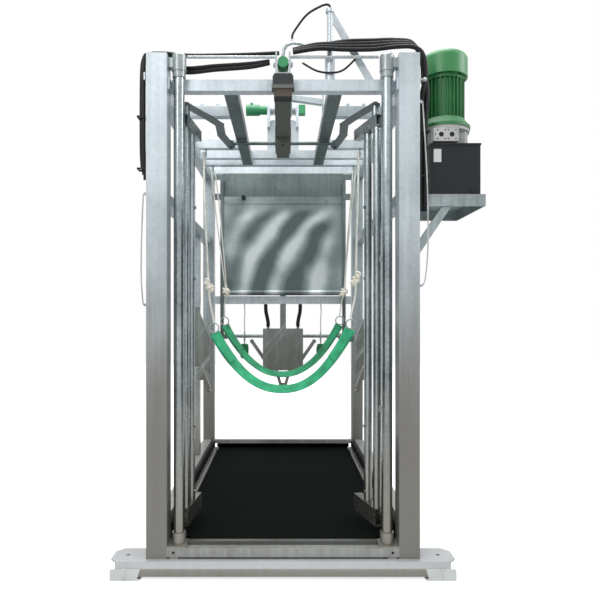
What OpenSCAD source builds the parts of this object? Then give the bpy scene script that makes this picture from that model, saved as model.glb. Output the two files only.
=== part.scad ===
/* [Model] */
// name of the one node to draw, or all

/* [Base and posts] */
// distance between the centre lines of the two base beams
span = 1750; // [1600:10:1900]
// length of a base beam
base_len = 1500; // [1360:10:1560]
// width of a base beam
base_w = 140; // [130:5:160]
// height of a base beam
base_h = 66; // [50:1:80]
// height of the base beam's underside above the floor
base_z = 14; // [10:1:20]
// wall of a base beam
base_wall = 8; // [5:1:10]
// corner cut at the ends of a base beam
base_cut = 32; // [15:1:45]
// distance of the anchor holes from the ends of a base beam
anchor_in = 65; // [45:1:75]
// anchor hole diameter
anchor_d = 18; // [12:1:24]
// length of a foot shoe
shoe_len = 130; // [100:5:160]
// thickness of a foot shoe
shoe_t = 6; // [4:1:8]
// height of a foot shoe's lips
shoe_h = 48; // [35:1:60]
// outer width over the posts
frame_w = 1192; // [1120:2:1240]
// side of an entrance post
post_f = 90; // [80:1:95]
// side of a rear post
post_r = 80; // [70:1:90]
// wall of the posts
post_wall = 4; // [3:0.5:6]
// top of the posts above the floor
post_top = 2285; // [2240:5:2300]
// thickness of the plates that close the posts
post_cap = 5; // [3:1:8]
// wall of the lighter square tubes
rail_wall = 3; // [2:0.5:4]

/* [Floor] */
// underside of the threshold rail
sill_z = 88; // [84:1:92]
// height of the threshold rail
sill_h = 38; // [30:1:40]
// depth of the threshold rail
sill_w = 40; // [30:1:44]
// top of the side floor rails
side_z1 = 203; // [190:1:215]
// height of the side floor rails
side_h = 60; // [50:1:70]
// width of the side floor rails
side_w = 60; // [50:1:70]
// top of the mat
mat_z = 140; // [134:1:146]
// thickness of the mat
mat_t = 20; // [15:1:25]
// thickness of the floor sheet
tray_t = 5; // [4:1:8]
// gap between the mat and the line of the posts
mat_gap = 6; // [2:1:20]
// thickness of the upturned rubber edge
skirt_t = 8; // [5:1:12]
// gap between a kick rail and the upturned rubber edge
kick_gap = 1; // [0.5:0.5:10]
// width of a kick rail
kick_w = 28; // [20:1:30]
// height of a kick rail
kick_h = 26; // [20:1:34]

/* [Roof] */
// underside of the roof tubes
roof_z = 2147; // [2140:1:2155]
// height of the roof tubes
roof_h = 50; // [40:1:60]
// distance of the long roof beams from the middle
beam_x = 238; // [200:1:260]
// width of a long roof beam
beam_w = 63; // [45:1:66]
// setback of the front crossbar behind the entrance face
bar_y = 74; // [72:1:80]
// depth of the front crossbar
bar_w = 50; // [40:1:55]
// setback of the first pair of outer roof ties
tie1_y = 400; // [360:5:440]
// setback of the second pair of outer roof ties
tie2_y = 956; // [930:2:980]
// setback of the middle roof tie
tie3_y = 1177; // [1160:1:1190]
// setback of the last roof tie
tie4_y = 1350; // [1330:2:1370]
// depth of a roof tie
tie_w = 50; // [40:1:55]
// underside of the upper side rails
side_up_z = 1662; // [1655:1:1664]
// height of the upper side rails
side_up_h = 50; // [40:1:60]

/* [Gate drive] */
// width of the middle beam
mid_w = 80; // [70:1:84]
// height of the middle beam
mid_h = 60; // [50:1:64]
// wall of the trolley sleeve
trol_t = 5; // [4:1:7]
// length of the trolley
trol_len = 235; // [200:5:240]
// setback of the trolley's front edge with the gates open
trol_y = 745; // [735:1:755]
// height of the middle of the cross rod
rod_z = 2131; // [2129:1:2132]
// diameter of the cross rod
rod_d = 20; // [16:1:22]
// half distance between the link pins on the cross rod
link_x = 300; // [296:1:304]
// setback of the link pins with the gates open
link_y = 811; // [805:1:815]
// width of a link
link_w = 44; // [36:1:50]
// thickness of a link
link_t = 8; // [6:1:9]
// underside of the links
link_z = 2110; // [2109:1:2111]
// diameter of the link pins
pin_d = 14; // [12:1:16]
// middle of the gate cylinder above the floor
cyl_z = 2262; // [2258:1:2270]
// outer diameter of the gate cylinder
cyl_d = 48; // [40:1:50]
// bore of the gate cylinder
cyl_bore = 38; // [32:1:40]
// diameter of the piston rod
piston_rod_d = 22; // [18:1:25]

/* [Gates] */
// distance of a gate pivot from the post's inner face
pivot_gap = 46; // [44:1:50]
// diameter of a gate pivot tube
pivot_d = 48; // [42:1:50]
// length of a gate leaf
leaf_len = 320; // [280:5:330]
// angle of the left leaf to the chute at rest
leaf_deg_l = 6; // [4:1:8]
// angle of the right leaf to the chute at rest
leaf_deg_r = 16; // [14:1:18]
// diameter of a leaf bar
leaf_bar_d = 38; // [30:1:40]
// distance of the first bar from the pivot
bar1_y = 100; // [90:1:110]
// distance of the second bar from the pivot
bar2_y = 200; // [190:1:210]
// width of the leaf rails
leaf_rail_w = 40; // [34:1:44]
// underside of the bottom leaf rail
leaf_z0 = 176; // [170:1:180]
// height of the bottom leaf rail
leaf_low_h = 80; // [60:1:90]
// underside of the top leaf rail
leaf_top_z = 2006; // [1990:1:2010]
// height of the top leaf rail
leaf_top_h = 50; // [40:1:52]
// distance of the link pin from the pivot
crank_r = 120; // [118:1:122]

/* [Power pack] */
// height of the belt winch's shaft
winch_z = 2445; // [2440:1:2460]
// top of the winch plate
winch_top = 2394; // [2380:1:2400]
// width of the shelf beside the post
shelf_w = 303; // [290:1:310]
// depth of the shelf
shelf_d = 411; // [380:1:420]
// top of the shelf
shelf_z = 1678; // [1676:1:1680]
// height of the shelf's edge
shelf_h = 53; // [40:1:60]
// wall of the shelf
shelf_t = 5; // [4:1:6]
// width of the oil tank
tank_w = 222; // [200:1:226]
// depth of the oil tank
tank_d = 340; // [300:5:345]
// height of the oil tank
tank_h = 222; // [205:1:230]
// wall of the oil tank
tank_wall = 3; // [2:0.5:4]
// distance of the motor's middle from the tank's inner side
motor_in = 98; // [92:1:104]
// setback of the motor's middle
motor_y = 200; // [190:1:210]
// diameter of the fan cowl
cowl_d = 214; // [200:1:220]
// diameter of the motor body over the fins
motor_d = 186; // [160:1:190]
// diameter of the motor's foot flange
flange_d = 236; // [220:1:240]
// height of the pump adapter between the tank and the motor
adapter_h = 102; // [98:1:112]
// height of the motor under its cowl
motor_h = 243; // [230:1:255]
// height of the cowl's straight part
cowl_h = 118; // [108:1:125]
// number of cooling fins
fin_n = 28; // [20:2:32]

/* [Far end] */
// distance of the head panel's edge from the rear post
panel_gap = 66; // [61:1:86]
// lower edge of the head panel when raised
panel_z0 = 1316; // [1310:1:1330]
// upper edge of the head panel when raised
panel_z1 = 2010; // [1980:1:2015]
// thickness of the sheets
sheet_t = 4; // [3:1:5]
// underside of the far middle beam
far_z = 1215; // [1205:1:1225]
// height of the far middle beam
far_h = 58; // [50:1:60]
// diameter of the tube along the panel's lower edge
lip_d = 40; // [32:1:42]
// side of the hanging square bar
stem_w = 44; // [36:1:46]
// width of the leg plate
plate_w = 300; // [260:1:310]
// top of the leg plate
plate_z1 = 1032; // [1025:1:1040]
// height of the leg plate
plate_h = 313; // [280:1:320]
// height of the breast pipe
pipe_z = 972; // [965:1:980]
// diameter of the breast pipe
pipe_d = 25; // [20:1:28]

/* [Leg rests] */
// setback of the side stanchions
stanchion_y = 1290; // [1270:2:1310]
// side of a stanchion
stanchion_w = 40; // [35:1:45]
// side of a leg rest tube
rest_w = 40; // [34:1:40]
// distance of a leg rest's hinge from the chute's outer side
rest_in = 30; // [26:1:32]

/* [Belts and ropes] */
// width of a belly belt
belt_w = 88; // [70:1:100]
// thickness of a belly belt
belt_t = 5; // [4:0.5:6]
// setback of the near belt
belt1_y = 880; // [860:2:900]
// setback of the far belt
belt2_y = 1400; // [1385:1:1410]
// diameter of the thick rope
rope_d = 13; // [10:1:14]
// diameter of the thin rope
cord_d = 9; // [6:1:10]
// diameter of a hydraulic hose
hose_d = 19; // [16:1:20]

/* [Hidden] */
$fn = 48;
// radial play of a turning fit
fit = 0.05;
// play beside a sliding piece
slip = 0.4;
// gap that keeps separate bodies apart
gap = 0.5;
yf = -span / 2 - post_f / 2;
yr = span / 2;
base_top = base_z + base_h;
post_xo = frame_w / 2;
post_xi = post_xo - post_f;
rear_xi = post_xo - post_r;
rear_y = yr - post_r / 2;
rail_xo = post_xo;
rail_xi = post_xo - side_w;
roof_top = roof_z + roof_h;
pack_x0 = post_xo + shelf_w - tank_w - 18;
motor_x = pack_x0 + motor_in;
anchor_x = base_len / 2 - anchor_in;
mat_half = post_xi - mat_gap;
skirt_x = post_xi + 8 - skirt_t;
kick_x = skirt_x - kick_gap - kick_w;
pivot_x = post_xi - pivot_gap;
panel_x = rear_xi - panel_gap;

function yc(d) = yf + d;

module box(x, y, z) {
  translate([x[0], y[0], z[0]]) cube([x[1] - x[0], y[1] - y[0], z[1] - z[0]]);
}
module tube_x(x, y, z, w) {
  difference() {
    box(x, y, z);
    box([x[0] - 1, x[1] + 1], [y[0] + w, y[1] - w], [z[0] + w, z[1] - w]);
  }
}
module tube_y(x, y, z, w) {
  difference() {
    box(x, y, z);
    box([x[0] + w, x[1] - w], [y[0] - 1, y[1] + 1], [z[0] + w, z[1] - w]);
  }
}
module tube_z(x, y, z, w) {
  difference() {
    box(x, y, z);
    box([x[0] + w, x[1] - w], [y[0] + w, y[1] - w], [z[0] - 1, z[1] + 1]);
  }
}
module rod_x(x, y, z, d) { translate([x[0], y, z]) rotate([0, 90, 0]) cylinder(d = d, h = x[1] - x[0]); }
module rod_y(x, y, z, d) { translate([x, y[0], z]) rotate([-90, 0, 0]) cylinder(d = d, h = y[1] - y[0]); }
module rod_z(x, y, z, d) { translate([x, y, z[0]]) cylinder(d = d, h = z[1] - z[0]); }
module both() { children(); mirror([1, 0, 0]) children(); }
// bar between two points, w wide along Y and t thick
module strut(a, b, w, t) {
  v = b - a;
  l = norm(v);
  translate(a) rotate([0, acos(v[2] / l), atan2(v[1], v[0])])
    translate([-t / 2, -w / 2, 0]) cube([t, w, l]);
}

// ---- base and posts
module base_beam() {
  c = base_cut;
  difference() {
    translate([0, 0, base_z]) linear_extrude(base_h)
      polygon([[-base_len/2 + c, -base_w/2], [base_len/2 - c, -base_w/2], [base_len/2, -base_w/2 + c],
        [base_len/2, base_w/2 - c], [base_len/2 - c, base_w/2], [-base_len/2 + c, base_w/2],
        [-base_len/2, base_w/2 - c], [-base_len/2, -base_w/2 + c]]);
    box([-base_len, base_len], [-base_w/2 + base_wall, base_w/2 - base_wall],
      [base_z - 1, base_top - base_wall]);
    both() translate([anchor_x, 0, base_top - base_wall - 1]) cylinder(d = anchor_d, h = base_wall + 2);
  }
}
module front_base_beam() color("#c9ced0") translate([0, -yr, 0]) base_beam();
module rear_base_beam() color("#c9ced0") translate([0, yr, 0]) base_beam();
// bent foot: a sole under the beam's end with a lip against each flange
module shoe() {
  x1 = base_len / 2 - 4;
  x0 = x1 - shoe_len;
  difference() {
    box([x0, x1], [-base_w/2 - shoe_t, base_w/2 + shoe_t], [0, shoe_t]);
    rod_z(anchor_x, 0, [-1, shoe_t + 1], anchor_d);
  }
  both_y() translate([0, base_w/2 + shoe_t, 0]) rotate([90, 0, 0]) linear_extrude(shoe_t)
    polygon([[x0 + 14, 0], [x1, 0], [x1, shoe_h], [x0, shoe_h]]);
  both_y() box([x1 - shoe_len/2, x1 - shoe_len/2 + 6], [base_w/2 + shoe_t, base_w/2 + shoe_t + 7], [0, shoe_h + 6]);
}
module both_y() { children(); mirror([0, 1, 0]) children(); }
module foot_shoes() color("#eef1f2") both() { translate([0, -yr, 0]) shoe(); translate([0, yr, 0]) shoe(); }
module post(x0, y0, s, w, h) {
  tube_z([x0, x0 + s], [y0, y0 + s], [base_top, h - post_cap], w);
  box([x0, x0 + s], [y0, y0 + s], [h - post_cap, h]);
}
module front_post_left() color("#b8bfc1") post(-post_xo, yf, post_f, post_wall, post_top);
module front_post_right() color("#b8bfc1") post(post_xi, yf, post_f, post_wall, post_top);
module rear_post_left() color("#b8bfc1") post(-post_xo, rear_y, post_r, post_wall, post_top);
module rear_post_right() color("#b8bfc1") post(rear_xi, rear_y, post_r, post_wall, post_top);

// ---- floor
// rail under the entrance, with bolt holes and two small tabs down to the beam
module threshold_rail() color("#b9b9b4") difference() {
  union() {
    tube_x([-post_xi, post_xi], [yf, yf + sill_w], [sill_z, sill_z + sill_h], rail_wall);
    both() box([pivot_x - 2, pivot_x + 34], [yf + 2, yf + 10], [base_top, sill_z]);
  }
  both() rod_y(pivot_x + 18, [yf - 1, yf + 8], sill_z + sill_h/2, 12);
}
module bottom_rails() color("#c3cacc") both()
  tube_y([rail_xi, rail_xo], [yf + post_f, rear_y], [side_z1 - side_h, side_z1], rail_wall);
module far_floor_rail() color("#cfd6d8")
  tube_x([-rear_xi, rear_xi], [rear_y, rear_y + 40], [side_z1 - 28, side_z1 - 2], rail_wall);
module floor_tray() color("#9da3a5") {
  box([-rail_xi, rail_xi], [yf + post_f, rear_y], [mat_z - mat_t - tray_t, mat_z - mat_t]);
  box([-post_xi, post_xi], [yf + 44, yf + post_f], [mat_z - mat_t - tray_t, mat_z - mat_t]);
  box([-rear_xi, rear_xi], [rear_y, rear_y + post_r], [mat_z - mat_t - tray_t, mat_z - mat_t]);
  box([-post_xi, post_xi], [yf + 44, yf + 74], [base_top, mat_z - mat_t - tray_t]);
  box([-rear_xi, rear_xi], [rear_y + 20, rear_y + 50], [base_top, mat_z - mat_t - tray_t]);
  for (d = [560, 900, 1240]) box([-rail_xi, rail_xi], [yc(d), yc(d) + 40],
    [mat_z - mat_t - tray_t - 30, mat_z - mat_t - tray_t]);
}
module rubber_mat() color("#1a1f20") difference() {
  box([-mat_half, mat_half], [yf + 50, rear_y + 40], [mat_z - mat_t, mat_z]);
  both() box([pivot_x - 42, mat_half + 1], [yf + 40, yf + post_f + 10], [mat_z - mat_t - 1, mat_z + 1]);
}
module rubber_skirts() color("#1a1f20") {
  both() box([skirt_x, skirt_x + skirt_t], [yf + post_f + 12, rear_y - 2], [mat_z - mat_t, side_z1 - side_h + 46]);
  box([-post_xi + 10, post_xi - 10], [rear_y + 40, rear_y + 48], [mat_z - mat_t, side_z1 - 30]);
}
module mat_strip() color("#d5dadb") {
  box([-pivot_x + 44, pivot_x - 44], [yf + 41, yf + 47], [mat_z - mat_t, mat_z + 3]);
  box([-pivot_x + 44, pivot_x - 44], [yf + 47, yf + 62], [mat_z, mat_z + 3]);
}
module kick_rails() color("#b3babc") both() difference() {
  rotate([90, 0, 0]) translate([0, 0, -yc(1710)]) linear_extrude(1710 - 480)
    polygon([[kick_x, mat_z], [kick_x + kick_w, mat_z], [kick_x + kick_w, mat_z + kick_h],
      [kick_x + 6, mat_z + kick_h], [kick_x, mat_z + kick_h - 6]]);
  translate([kick_x - 1, yc(1690), mat_z]) rotate([45, 0, 0]) cube([kick_w + 2, 60, 60]);
}
// plate, stub and sleeve that hold the lower end of a gate pivot
module gate_seat() {
  box([pivot_x - 40, post_xi], [yf, yf + post_f], [sill_z + sill_h, sill_z + sill_h + 8]);
  difference() {
    rod_z(pivot_x, yf + 45, [sill_z + sill_h + 8, 184], 60);
    rod_z(pivot_x, yf + 45, [sill_z + sill_h + 9, 190], pivot_d + 2 * fit);
  }
}
module gate_seats() color("#cfd4d5") both() gate_seat();
// dome-topped housing that holds the upper end of a gate pivot
module gate_cap() {
  difference() {
    union() {
      rod_z(pivot_x, yf + 45, [post_top - 95, post_top - 67], 58);
      rod_z(pivot_x, yf + 45, [post_top - 67, post_top + 1], 64);
      translate([pivot_x, yf + 45, post_top + 1]) intersection() {
        translate([0, 0, -16]) sphere(r = 35.8);
        cylinder(d = 64, h = 30);
      }
      box([pivot_x + 20, post_xi], [yf + 25, yf + 65], [post_top - 53, post_top - 11]);
    }
    rod_z(pivot_x, yf + 45, [post_top - 105, post_top - 61], pivot_d + 2 * fit);
  }
}
module gate_caps() color("#cfd6d9") both() gate_cap();

// ---- roof
module front_crossbar() color("#dde5ea") {
  tube_x([-post_xi + 8, post_xi - 8], [yc(bar_y), yc(bar_y + bar_w)], [roof_z, roof_top], rail_wall);
  both() box([post_xi - 8, post_xi], [yf + 18, yc(bar_y + bar_w)], [roof_z - 14, roof_top - 12]);
}
module hose_pipe() color("#e4e8ea") both() rod_x([34, pivot_x - 34], yc(60), post_top + 6, 13);
module top_rails() color("#c3cacd") both()
  tube_y([rail_xi, rail_xo], [yf + post_f, rear_y], [roof_z, roof_top], rail_wall);
module upper_side_rails() color("#c3cacd") both()
  tube_y([rail_xi, rail_xo], [yf + post_f, rear_y], [side_up_z, side_up_z + side_up_h], rail_wall);
module roof_beam(s) tube_y([s * beam_x - beam_w/2, s * beam_x + beam_w/2],
  [yc(bar_y + bar_w), yc(tie4_y)], [roof_z, roof_top], rail_wall);
module roof_beam_left() color("#8d9494") roof_beam(-1);
module roof_beam_right() color("#8d9494") roof_beam(1);
module outer_tie(d) both() {
  tube_x([beam_x + beam_w/2, rail_xi], [yc(d), yc(d + tie_w)], [roof_z, roof_top], rail_wall);
}
module roof_ties_front() color("#d3dadd") {
  outer_tie(tie1_y);
  outer_tie(tie2_y);
  both() for (x = [330, 410]) translate([x, yc(tie1_y) + 14, roof_top]) cylinder(d = 20, h = 14, $fn = 6);
}
module roof_ties_rear() color("#d3dadd") {
  outer_tie(tie3_y);
  tube_x([-beam_x + beam_w/2, beam_x - beam_w/2], [yc(tie3_y), yc(tie3_y + tie_w)], [roof_z, roof_top], rail_wall);
  tube_x([-rail_xi, rail_xi], [yc(tie4_y), yc(tie4_y + tie_w)], [roof_z, roof_top], rail_wall);
}
module far_top_beam() color("#d3dadd")
  tube_x([-rear_xi, rear_xi], [rear_y, rear_y + 60], [2190, 2250], rail_wall);
module far_middle_beam() color("#8c9392")
  difference() {
    tube_x([-rear_xi, rear_xi], [rear_y, rear_y + 60], [far_z, far_z + far_h], rail_wall);
    box([-stem_w/2 - slip, stem_w/2 + slip], [rear_y + 8 - slip, rear_y + 8 + stem_w + slip], [far_z - 1, far_z + far_h + 1]);
  }

// ---- gate drive
module middle_beam() color("#4a4e49")
  tube_y([-mid_w/2, mid_w/2], [yc(bar_y + bar_w), yc(tie3_y)], [roof_z, roof_z + mid_h], 4);
// dark saddle over the front crossbar at the beam's head
module beam_head() color("#3a3b3d") {
  box([-40, 40], [yc(bar_y) - 46, yc(bar_y)], [2098, 2139]);
  box([-50, 50], [yc(bar_y) - 52, yc(bar_y)], [2139, 2156]);
  rotate([90, 0, 0]) translate([0, 0, -yc(bar_y)]) linear_extrude(46)
    polygon([[-46, 2156], [46, 2156], [46, 2192], [38, 2206], [-38, 2206], [-46, 2192]]);
}
// two ears that hold the gate cylinder's head
module cylinder_ears() color("#dfe6e6") {
  both() box([25.5, 34], [yc(34), yc(108)], [roof_top + 9, 2304]);
  box([-34, 34], [yc(34), yc(108)], [2206, 2212]);
}
module cylinder_pin() color("#c9ccce") { rod_x([-44, 44], yc(60), cyl_z - 4, 15.9); both() rod_x([34.6, 42], yc(60), cyl_z - 4, 28); }
module gate_cylinder() color("#3f8a5c") difference() {
  union() {
    difference() {
      rod_y(0, [yc(38), yc(580)], cyl_z, cyl_d);
      rod_y(0, [yc(120), yc(560)], cyl_z, cyl_bore);
    }
    rod_y(0, [yc(556), yc(584)], cyl_z, cyl_d + 6);
    rod_z(0, yc(96), [cyl_z + 20, cyl_z + 34], 20);
    rod_z(0, yc(540), [cyl_z + 20, cyl_z + 34], 20);
  }
  rod_y(0, [yc(540), yc(600)], cyl_z, piston_rod_d + 2 * fit);
  rod_x([-60, 60], yc(60), cyl_z - 4, 16);
}
module cylinder_saddle() color("#8d9494") {
  box([-22, 22], [yc(520), yc(545)], [roof_z + mid_h, cyl_z - cyl_d/2 - 0.3]);
}
// sleeve that slides along the middle beam, with a chamber below for the cross rod
module gate_trolley() color("#55584f") {
  o = mid_w/2 + slip + trol_t;
  difference() {
    box([-o, o], [yc(trol_y), yc(trol_y + trol_len)], [2118, roof_z + mid_h + slip + trol_t]);
    box([-mid_w/2 - slip, mid_w/2 + slip], [yc(trol_y) - 1, yc(trol_y + trol_len) + 1],
      [roof_z - slip, roof_z + mid_h + slip]);
    rod_x([-60, 60], yc(link_y), rod_z, rod_d);
  }
  box([-9, 9], [yc(850), yc(874)], [roof_z + mid_h + slip + trol_t, cyl_z + 18]);
  translate([0, yc(trol_y + 60), 2110]) cylinder(d = 22, h = 8, $fn = 6);
}
module cross_rod() color("#c3cbcd") difference() {
  union() {
    rod_x([-link_x - 8, link_x + 8], yc(link_y), rod_z, rod_d);
    both() rod_z(link_x, yc(link_y), [2120.5, 2144], 30);
    both() rod_z(link_x, yc(link_y), [2102, 2121], pin_d);
    both() rod_z(link_x, yc(link_y), [2098, link_z - gap], 24);
  }
}
module piston_rod() color("#d8dcde") {
  rod_y(0, [yc(430), yc(850)], cyl_z, piston_rod_d);
  rod_y(0, [yc(400), yc(430)], cyl_z, cyl_bore - 2 * fit);
}
module link(far) {
  link_path = [[0, 0], [210, 14], [375, 60], [490, 40], [far, 0]];
  difference() {
    union() {
      linear_extrude(link_t) {
        for (i = [0:3]) {
          a = link_path[i];
          b = link_path[i + 1];
          translate(a) rotate(atan2(b[1] - a[1], b[0] - a[0])) translate([0, -link_w/2]) square([norm(b - a), link_w]);
        }
        for (p = link_path) translate(p) circle(d = link_w + 3);
      }
      translate([far, 0, link_t - 1]) cylinder(d = 24, h = 10, $fn = 6);
    }
    translate([0, 0, -1]) cylinder(d = pin_d + 2 * fit, h = link_t + 2);
  }
}
// the links hang below the rod and run to a pin above each leaf
pin_l = [-pivot_x + crank_r * sin(leaf_deg_l), 45 + crank_r * cos(leaf_deg_l)];
pin_r = [pivot_x - crank_r * sin(leaf_deg_r), 45 + crank_r * cos(leaf_deg_r)];
module link_left() color("#5d6467") translate([-link_x, yc(link_y), link_z])
  rotate(atan2(pin_l[1] - link_y, pin_l[0] + link_x)) link(norm(pin_l - [-link_x, link_y]));
module link_right() color("#5d6467") translate([link_x, yc(link_y), link_z])
  rotate(atan2(pin_r[1] - link_y, pin_r[0] - link_x)) mirror([0, 1, 0]) link(norm(pin_r - [link_x, link_y]));

// ---- gates
module leaf() {
  difference() {
    union() {
      rod_z(0, 0, [sill_z + sill_h + 9.3, post_top - 63], pivot_d);
      for (b = [bar1_y, bar2_y]) rod_z(0, b, [leaf_z0 + leaf_low_h, leaf_top_z], leaf_bar_d);
      box([-5, 5], [20, 90], [leaf_z0 + leaf_low_h - 20, leaf_z0 + leaf_low_h]);
      box([-5, 5], [20, 90], [leaf_top_z, leaf_top_z + 34]);
      for (z = [700, 1380]) box([-4, 4], [20, bar1_y], [z, z + 30]);
    }
    rod_z(0, 0, [sill_z + sill_h, 2300], pivot_d - 8);
  }
  difference() {
    box([-leaf_rail_w/2, leaf_rail_w/2], [80, leaf_len], [leaf_z0, leaf_z0 + leaf_low_h]);
    box([-leaf_rail_w/2 + 3, leaf_rail_w/2 - 3], [70, leaf_len + 10], [leaf_z0 + 3, leaf_z0 + leaf_low_h - 3]);
  }
  difference() {
    box([-leaf_rail_w/2, leaf_rail_w/2], [70, leaf_len], [leaf_top_z, leaf_top_z + leaf_top_h]);
    box([-leaf_rail_w/2 + 3, leaf_rail_w/2 - 3], [60, leaf_len + 10], [leaf_top_z + 3, leaf_top_z + leaf_top_h - 3]);
  }
  rod_z(0, crank_r, [leaf_top_z + leaf_top_h, link_z - gap], 30);
}
module leaf_bolts(s) for (z = [300, 614, 1315, 1653])
  translate([s * (leaf_bar_d/2 - 2), bar2_y - 6, z]) rotate([0, s * 90, 0]) cylinder(d = 16, h = 8, $fn = 6);
module gate_left() color("#aab2b4") translate([-pivot_x, yc(45), 0]) rotate(-leaf_deg_l) { leaf(); leaf_bolts(1); }
module gate_right() color("#aab2b4") translate([pivot_x, yc(45), 0]) rotate(leaf_deg_r) { leaf(); leaf_bolts(-1); }

// ---- mast for the hoses
module mast_sleeve() color("#dfe6e8") difference() {
  rod_z(212, yc(bar_y) + 25, [roof_top, 2304], 45);
  rod_z(212, yc(bar_y) + 25, [roof_top + 4, 2310], 26);
}
module mast() color("#cfd6d8") {
  rod_z(212, yc(bar_y) + 25, [roof_top + 4, 2514], 26);
  intersection() {
    strut([214, yc(bar_y) + 25, 2508], [401, yc(bar_y) + 25, roof_top - 6], 8, 30);
    box([200, 440], [yc(bar_y), yc(bar_y + bar_w)], [roof_top, 2520]);
  }
  box([378, 418], [yc(bar_y) + 15, yc(bar_y) + 35], [roof_top, roof_top + 6]);
  rod_z(212, yc(bar_y) + 25, [2508, 2524], 38);
}
// right-hand hanger between the long beam and the middle beam
module beam_hanger() color("#d5dcde") {
  box([beam_x - beam_w/2 - 6, beam_x - beam_w/2], [yc(398), yc(446)], [roof_z + 4, 2262]);
  box([mid_w/2, mid_w/2 + 6], [yc(404), yc(440)], [roof_z + 10, 2252]);
  strut([mid_w/2 + 5, yc(422), 2244], [beam_x - beam_w/2 - 5, yc(422), 2222], 30, 26);
}
// plate with round top corners, and two ears above it that carry the belt winch
module winch_plate() color("#cdd5dc") difference() {
  union() {
    box([-101, 101], [yc(1187), yc(1195)], [roof_top, winch_top - 42]);
    box([-59, 59], [yc(1187), yc(1195)], [winch_top - 42, winch_top]);
    both() translate([59, yc(1195), winch_top - 42]) rotate([90, 0, 0]) cylinder(r = 42, h = 8);
    both() box([84, 100], [yc(1130), yc(1187)], [winch_top - 60, winch_z + 26]);
  }
  rod_x([-120, 120], yc(1154), winch_z, 24 + 2 * fit);
}
module winch_motor() color("#3f9a63") {
  rod_x([-236, -150], yc(1154), winch_z, 68);
  rod_x([-150, -100], yc(1154), winch_z, 54);
  rod_z(-200, yc(1154), [winch_z + 30, winch_z + 46], 18);
}
module winch_drum() color("#8f9698") {
  rod_x([-99.5, 132], yc(1154), winch_z, 24);
  rod_x([-80, 80], yc(1154), winch_z, 40);
  for (x = [-82, 74]) rod_x([x, x + 8], yc(1154), winch_z, 66);
}
module winch_rope() color("#d8dacb") for (i = [0:9])
  translate([-66 + i * 14.6, yc(1154), winch_z]) rotate([0, 90, 0]) rotate_extrude($fn = 32)
    translate([25.3, 0]) circle(d = 11, $fn = 10);
module winch_bearing() color("#3f9a63") difference() {
  box([100, 142], [yc(1130), yc(1178)], [winch_z - 28, winch_z + 28]);
  rod_x([90, 150], yc(1154), winch_z, 24 + 2 * fit);
}

// ---- power pack on its shelf beside the right post
module pack_shelf() color("#d3d9db") difference() {
  box([post_xo, post_xo + shelf_w], [yc(47), yc(47 + shelf_d)], [shelf_z - shelf_h, shelf_z]);
  box([post_xo + shelf_t, post_xo + shelf_w - shelf_t], [yc(47) + shelf_t, yc(47 + shelf_d) - shelf_t],
    [shelf_z - shelf_h - 1, shelf_z - shelf_t]);
}
module shelf_braces() color("#d3d9db") intersection() {
  for (d = [60, 78]) strut([post_xo - 20, yc(d), shelf_z - 281], [post_xo + 176, yc(d), shelf_z + 12], 6, 34);
  box([post_xo, post_xo + 230], [yc(50), yc(90)], [shelf_z - 300, shelf_z - shelf_t]);
}
module oil_tank() color("#2b2f31") difference() {
  box([pack_x0, pack_x0 + tank_w], [yc(62), yc(62 + tank_d)], [shelf_z, shelf_z + tank_h]);
  box([pack_x0 + tank_wall, pack_x0 + tank_w - tank_wall], [yc(62) + tank_wall, yc(62 + tank_d) - tank_wall],
    [shelf_z + tank_wall, shelf_z + tank_h - tank_wall]);
  rod_z(motor_x, yc(motor_y), [shelf_z + tank_h - 10, shelf_z + tank_h + 1], 92);
}
tank_top = shelf_z + tank_h;
foot_z = tank_top + adapter_h;
cowl_z = foot_z + motor_h;
cowl_top = cowl_z + cowl_h;
module tank_plugs() color("#c9ccce") {
  translate([pack_x0 + 190, yc(62), shelf_z + 14]) rotate([90, 0, 0]) cylinder(d = 18, h = 8, $fn = 6);
  rod_z(pack_x0 + 190, yc(350), [tank_top, tank_top + 30], 42);
}
module tank_lid() color("#1d2022") difference() {
  box([pack_x0 - 3, pack_x0 + tank_w + 3], [yc(59), yc(62 + tank_d + 3)], [tank_top, tank_top + 8]);
  rod_z(motor_x, yc(motor_y), [tank_top - 1, tank_top + 9], 92);
  rod_z(pack_x0 + 190, yc(350), [tank_top - 1, tank_top + 9], 42);
}
// valve block with two black ports facing the entrance
module valve_block() color("#d9dbd8") difference() {
  box([pack_x0 + 14, pack_x0 + 126], [yc(64), yc(122)], [tank_top + 19, tank_top + 77]);
  for (x = [48, 96]) rod_y(pack_x0 + x, [yc(60), yc(86)], tank_top + 49, 22);
}
module port_plugs() color("#17191a") {
  for (x = [48, 96]) rod_y(pack_x0 + x, [yc(66), yc(86)], tank_top + 49, 21.9);
  box([pack_x0 + 26, pack_x0 + 114], [yc(72), yc(122)], [tank_top + 8, tank_top + 19]);
}
module pump_adapter() color("#b9bcb8") difference() {
  union() {
    rod_z(motor_x, yc(motor_y), [tank_top + 8, foot_z - 16], flange_d - 24);
    rod_z(motor_x, yc(motor_y), [foot_z - 16, foot_z], flange_d - 8);
  }
  rod_z(motor_x, yc(motor_y), [tank_top + 14, foot_z + 10], 100);
  rod_z(motor_x, yc(motor_y), [tank_top, foot_z + 10], 40);
  box([motor_x - 130, motor_x + 130], [yc(50), yc(124)], [tank_top, tank_top + 80]);
}
module oil_pump() color("#8e9294") {
  rod_z(motor_x, yc(motor_y), [tank_top - 90, tank_top + 8], 88);
  rod_z(motor_x, yc(motor_y), [shelf_z + 30, tank_top - 90], 34);
}
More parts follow.
